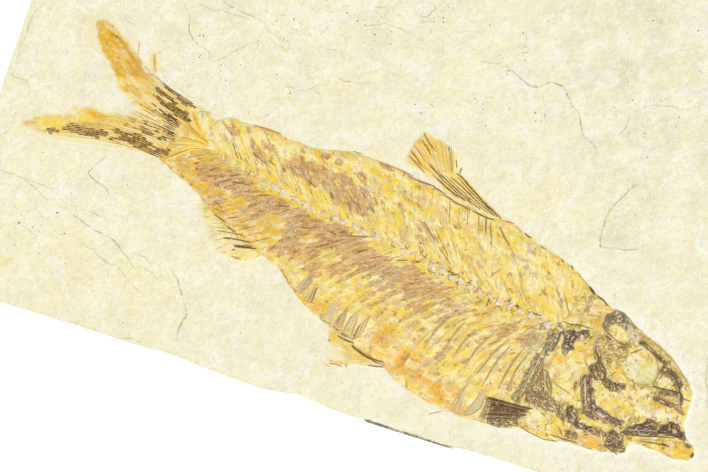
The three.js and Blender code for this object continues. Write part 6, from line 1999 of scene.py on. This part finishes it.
def crack_lines():
    """Hairline cracks and lamina edges: ribbons, dark in the middle, that fade out at their sides."""
    # Across a ribbon: (offset, lift, strength of the dark).
    section = [(-1, 0.0, 0.0), (-0.28, 0.004, 0.75), (0, 0.004, 1.0), (0.28, 0.004, 0.75), (1, 0.0, 0.0)]
    points, colours, faces, count = [], [], [], 0
    for path, width, darkness, _ in CRACKS:
        path = np.array(path, float)
        lengths = path_lengths(path)
        n = max(8, int(lengths[-1] / 0.2))
        at = np.linspace(0, lengths[-1], n)
        x, y = [eased(np.interp(at, lengths, path[:, k]), 4) for k in range(2)]
        x = x + 0.5 * (fractal(at / 1.1, at * 0 + path[0, 0], 161) - 0.5)
        y = y + 0.5 * (fractal(at / 1.1, at * 0 + path[0, 1], 162) - 0.5)
        dx, dy = np.gradient(x), np.gradient(y)
        size = np.hypot(dx, dy) + 1e-9
        breaks = smooth(0.30, 0.60, fractal(at / 1.2, at * 0 + 3.3 * path[0, 0], 163))
        tips = np.sin(np.pi * np.linspace(0.02, 0.98, n)) ** 0.4
        half = 0.85 * width * (0.6 + 0.4 * tips) * (0.7 + 0.5 * breaks)
        tone = np.clip(1.7 * darkness * tips * (0.50 + 0.6 * breaks), 0, 1)
        rows, tints = [], []
        for offset, lift, strength in section:
            px, py = x - offset * half * dy / size, y + offset * half * dx / size
            rows.append(np.column_stack([px, py, BEDDING_PLANE + stone_height(px, py) + lift + 0.012]))
            tints.append(mix(stone_colour(px, py), CRACK, 0.9 * strength * tone))
        points.append(np.stack(rows, 1).reshape(-1, 3))
        colours.append(np.stack(tints, 1).reshape(-1, 3))
        index = np.arange(n * len(section)).reshape(n, len(section)) + count
        faces.append(quads_of(index).reshape(-1, 4))
        count += index.size
    stone_marks("hairline_cracks", points, colours, faces)


# Where mineral specks gather: (x, y, spread).
SPECK_CLUSTERS = [
    (53, 55, 3), (70, 51, 3), (80, 51, 1.5), (63, 48, 3), (95, 55, 7), (90, 64, 8), (40, 52, 5),
    (47, 57, 3), (75, 60, 5), (98, 44, 6), (104, 66, 7), (14, 12, 6), (60, 60, 4), (30, 44, 5),
]


LOOSE_SPECKS = 150


def specks():
    """Tiny dark mineral grains, scattered in loose clusters."""
    places = []
    for cx, cy, spread in SPECK_CLUSTERS:
        for _ in range(int(9 + 2.4 * spread)):
            places.append((cx + rng.normal(0, spread * 0.5), cy + rng.normal(0, spread * 0.5)))
    for _ in range(LOOSE_SPECKS):
        places.append((rng.uniform(3, 125), rng.uniform(2, 83)))
    points, colours, faces, count = [], [], [], 0
    corners = 7
    turn = np.linspace(0, 2 * np.pi, corners, endpoint=False)
    for x, y in places:
        s, t = slab_to_fish(np.array([x]), np.array([y]))
        if not (3 < x < 125 and 1.5 < y < 83) or depth_in(s, t, BODY)[0] > -1:
            continue
        radius = rng.choice([0.04, 0.055, 0.075, 0.10], p=[0.36, 0.36, 0.22, 0.06])
        angle = turn + rng.uniform(0, 1)
        wide = radius * rng.uniform(0.7, 1.3, corners)
        # A grain, the pale dent round it, and a rim that melts into the stone.
        reach = np.concatenate([wide, 2.4 * wide, 3.6 * wide])
        px, py = x + reach * np.cos(np.tile(angle, 3)), y + reach * np.sin(np.tile(angle, 3))
        px, py = np.append(px, x), np.append(py, y)
        z = BEDDING_PLANE + stone_height(px, py)
        z[:corners] += 0.012
        z[corners:2 * corners] += 0.008
        z[2 * corners:-1] -= 0.004
        z[-1] += 0.03
        points.append(np.column_stack([px, py, z]))
        grain = mix(GRAIN_BROWN, GRAIN_DARK, rng.uniform(0.3, 1.0) * (0.6 + radius * 4))
        shown = np.concatenate([np.ones(corners), np.zeros(2 * corners), [1.0]])
        bright = np.concatenate([np.zeros(corners), np.ones(corners), np.zeros(corners + 1)])
        colours.append(mix(mix(stone_colour(px, py), GRAIN_DENT, bright), grain, shown))
        index = np.arange(corners) + count
        faces.append(np.stack([index, np.roll(index, -1), np.full(corners, count + 3 * corners)], -1))
        for k in range(2):
            inner, outer = index + k * corners, index + (k + 1) * corners
            faces.append(np.stack([inner, outer, np.roll(outer, -1)], -1))
            faces.append(np.stack([inner, np.roll(outer, -1), np.roll(inner, -1)], -1))
        count += 3 * corners + 1
    stone_marks("mineral_specks", points, colours, faces)


slab()
crack_lines()
specks()


# ------------------------------------------------------------------ floor, light and camera

WHITE = (1, 1, 1, 1)
PAPER = (0.9, 0.9, 0.9, 1)
# The photo looks straight down on a place of the slab, and the slab is turned clockwise in it.
PHOTO_TURN = math.radians(17.2)
PHOTO_CENTRE = (58.2, 25.7)
PHOTO_WIDTH = 106.2
CAMERA_HEIGHT = 900.0
SURROUND_STRENGTH, LAMP_STRENGTH = 0.72, 1.75


def floor():
    mesh = bpy.data.meshes.new("studio_floor")
    half = 3.0
    mesh.from_pydata([(-half, -half, 0), (half, -half, 0), (half, half, 0), (-half, half, 0)], [],
                     [(0, 1, 2, 3)])
    n = Nodes("studio_paper")
    for key, value in (("Base Color", PAPER), ("Roughness", 1.0), ("Specular IOR Level", 0.0),
                       ("Emission Color", WHITE), ("Emission Strength", 0.55)):
        n.surface.inputs[key].default_value = value
    mesh.materials.append(n.material)
    plane = bpy.data.objects.new("studio_floor", mesh)
    bpy.context.scene.collection.objects.link(plane)


def lights():
    """A bright even surround and one wide lamp."""
    world = bpy.data.worlds.new("studio")
    bpy.context.scene.world = world
    world.use_nodes = True
    world.node_tree.nodes["Background"].inputs["Color"].default_value = WHITE
    world.node_tree.nodes["Background"].inputs["Strength"].default_value = SURROUND_STRENGTH
    lamp = bpy.data.lights.new("key", "SUN")
    lamp.energy = LAMP_STRENGTH
    lamp.angle = math.radians(24)
    key = bpy.data.objects.new("key", lamp)
    key.rotation_euler = (math.radians(50), 0, PHOTO_TURN + math.radians(45))
    bpy.context.scene.collection.objects.link(key)


def camera():
    scene = bpy.context.scene
    data = bpy.data.cameras.new("camera")
    data.sensor_width = 36.0
    data.lens = data.sensor_width * CAMERA_HEIGHT / PHOTO_WIDTH
    data.clip_end = 10.0
    cam = bpy.data.objects.new("camera", data)
    x, y = SLAB_CORNER + PHOTO_CENTRE
    cam.location = (x * MM, y * MM, (SLAB_TOP + CAMERA_HEIGHT) * MM)
    cam.rotation_euler = (0, 0, PHOTO_TURN)
    scene.collection.objects.link(cam)
    scene.camera = cam
    scene.view_settings.view_transform = "Standard"
    scene.view_settings.look = "None"


floor()
lights()
camera()
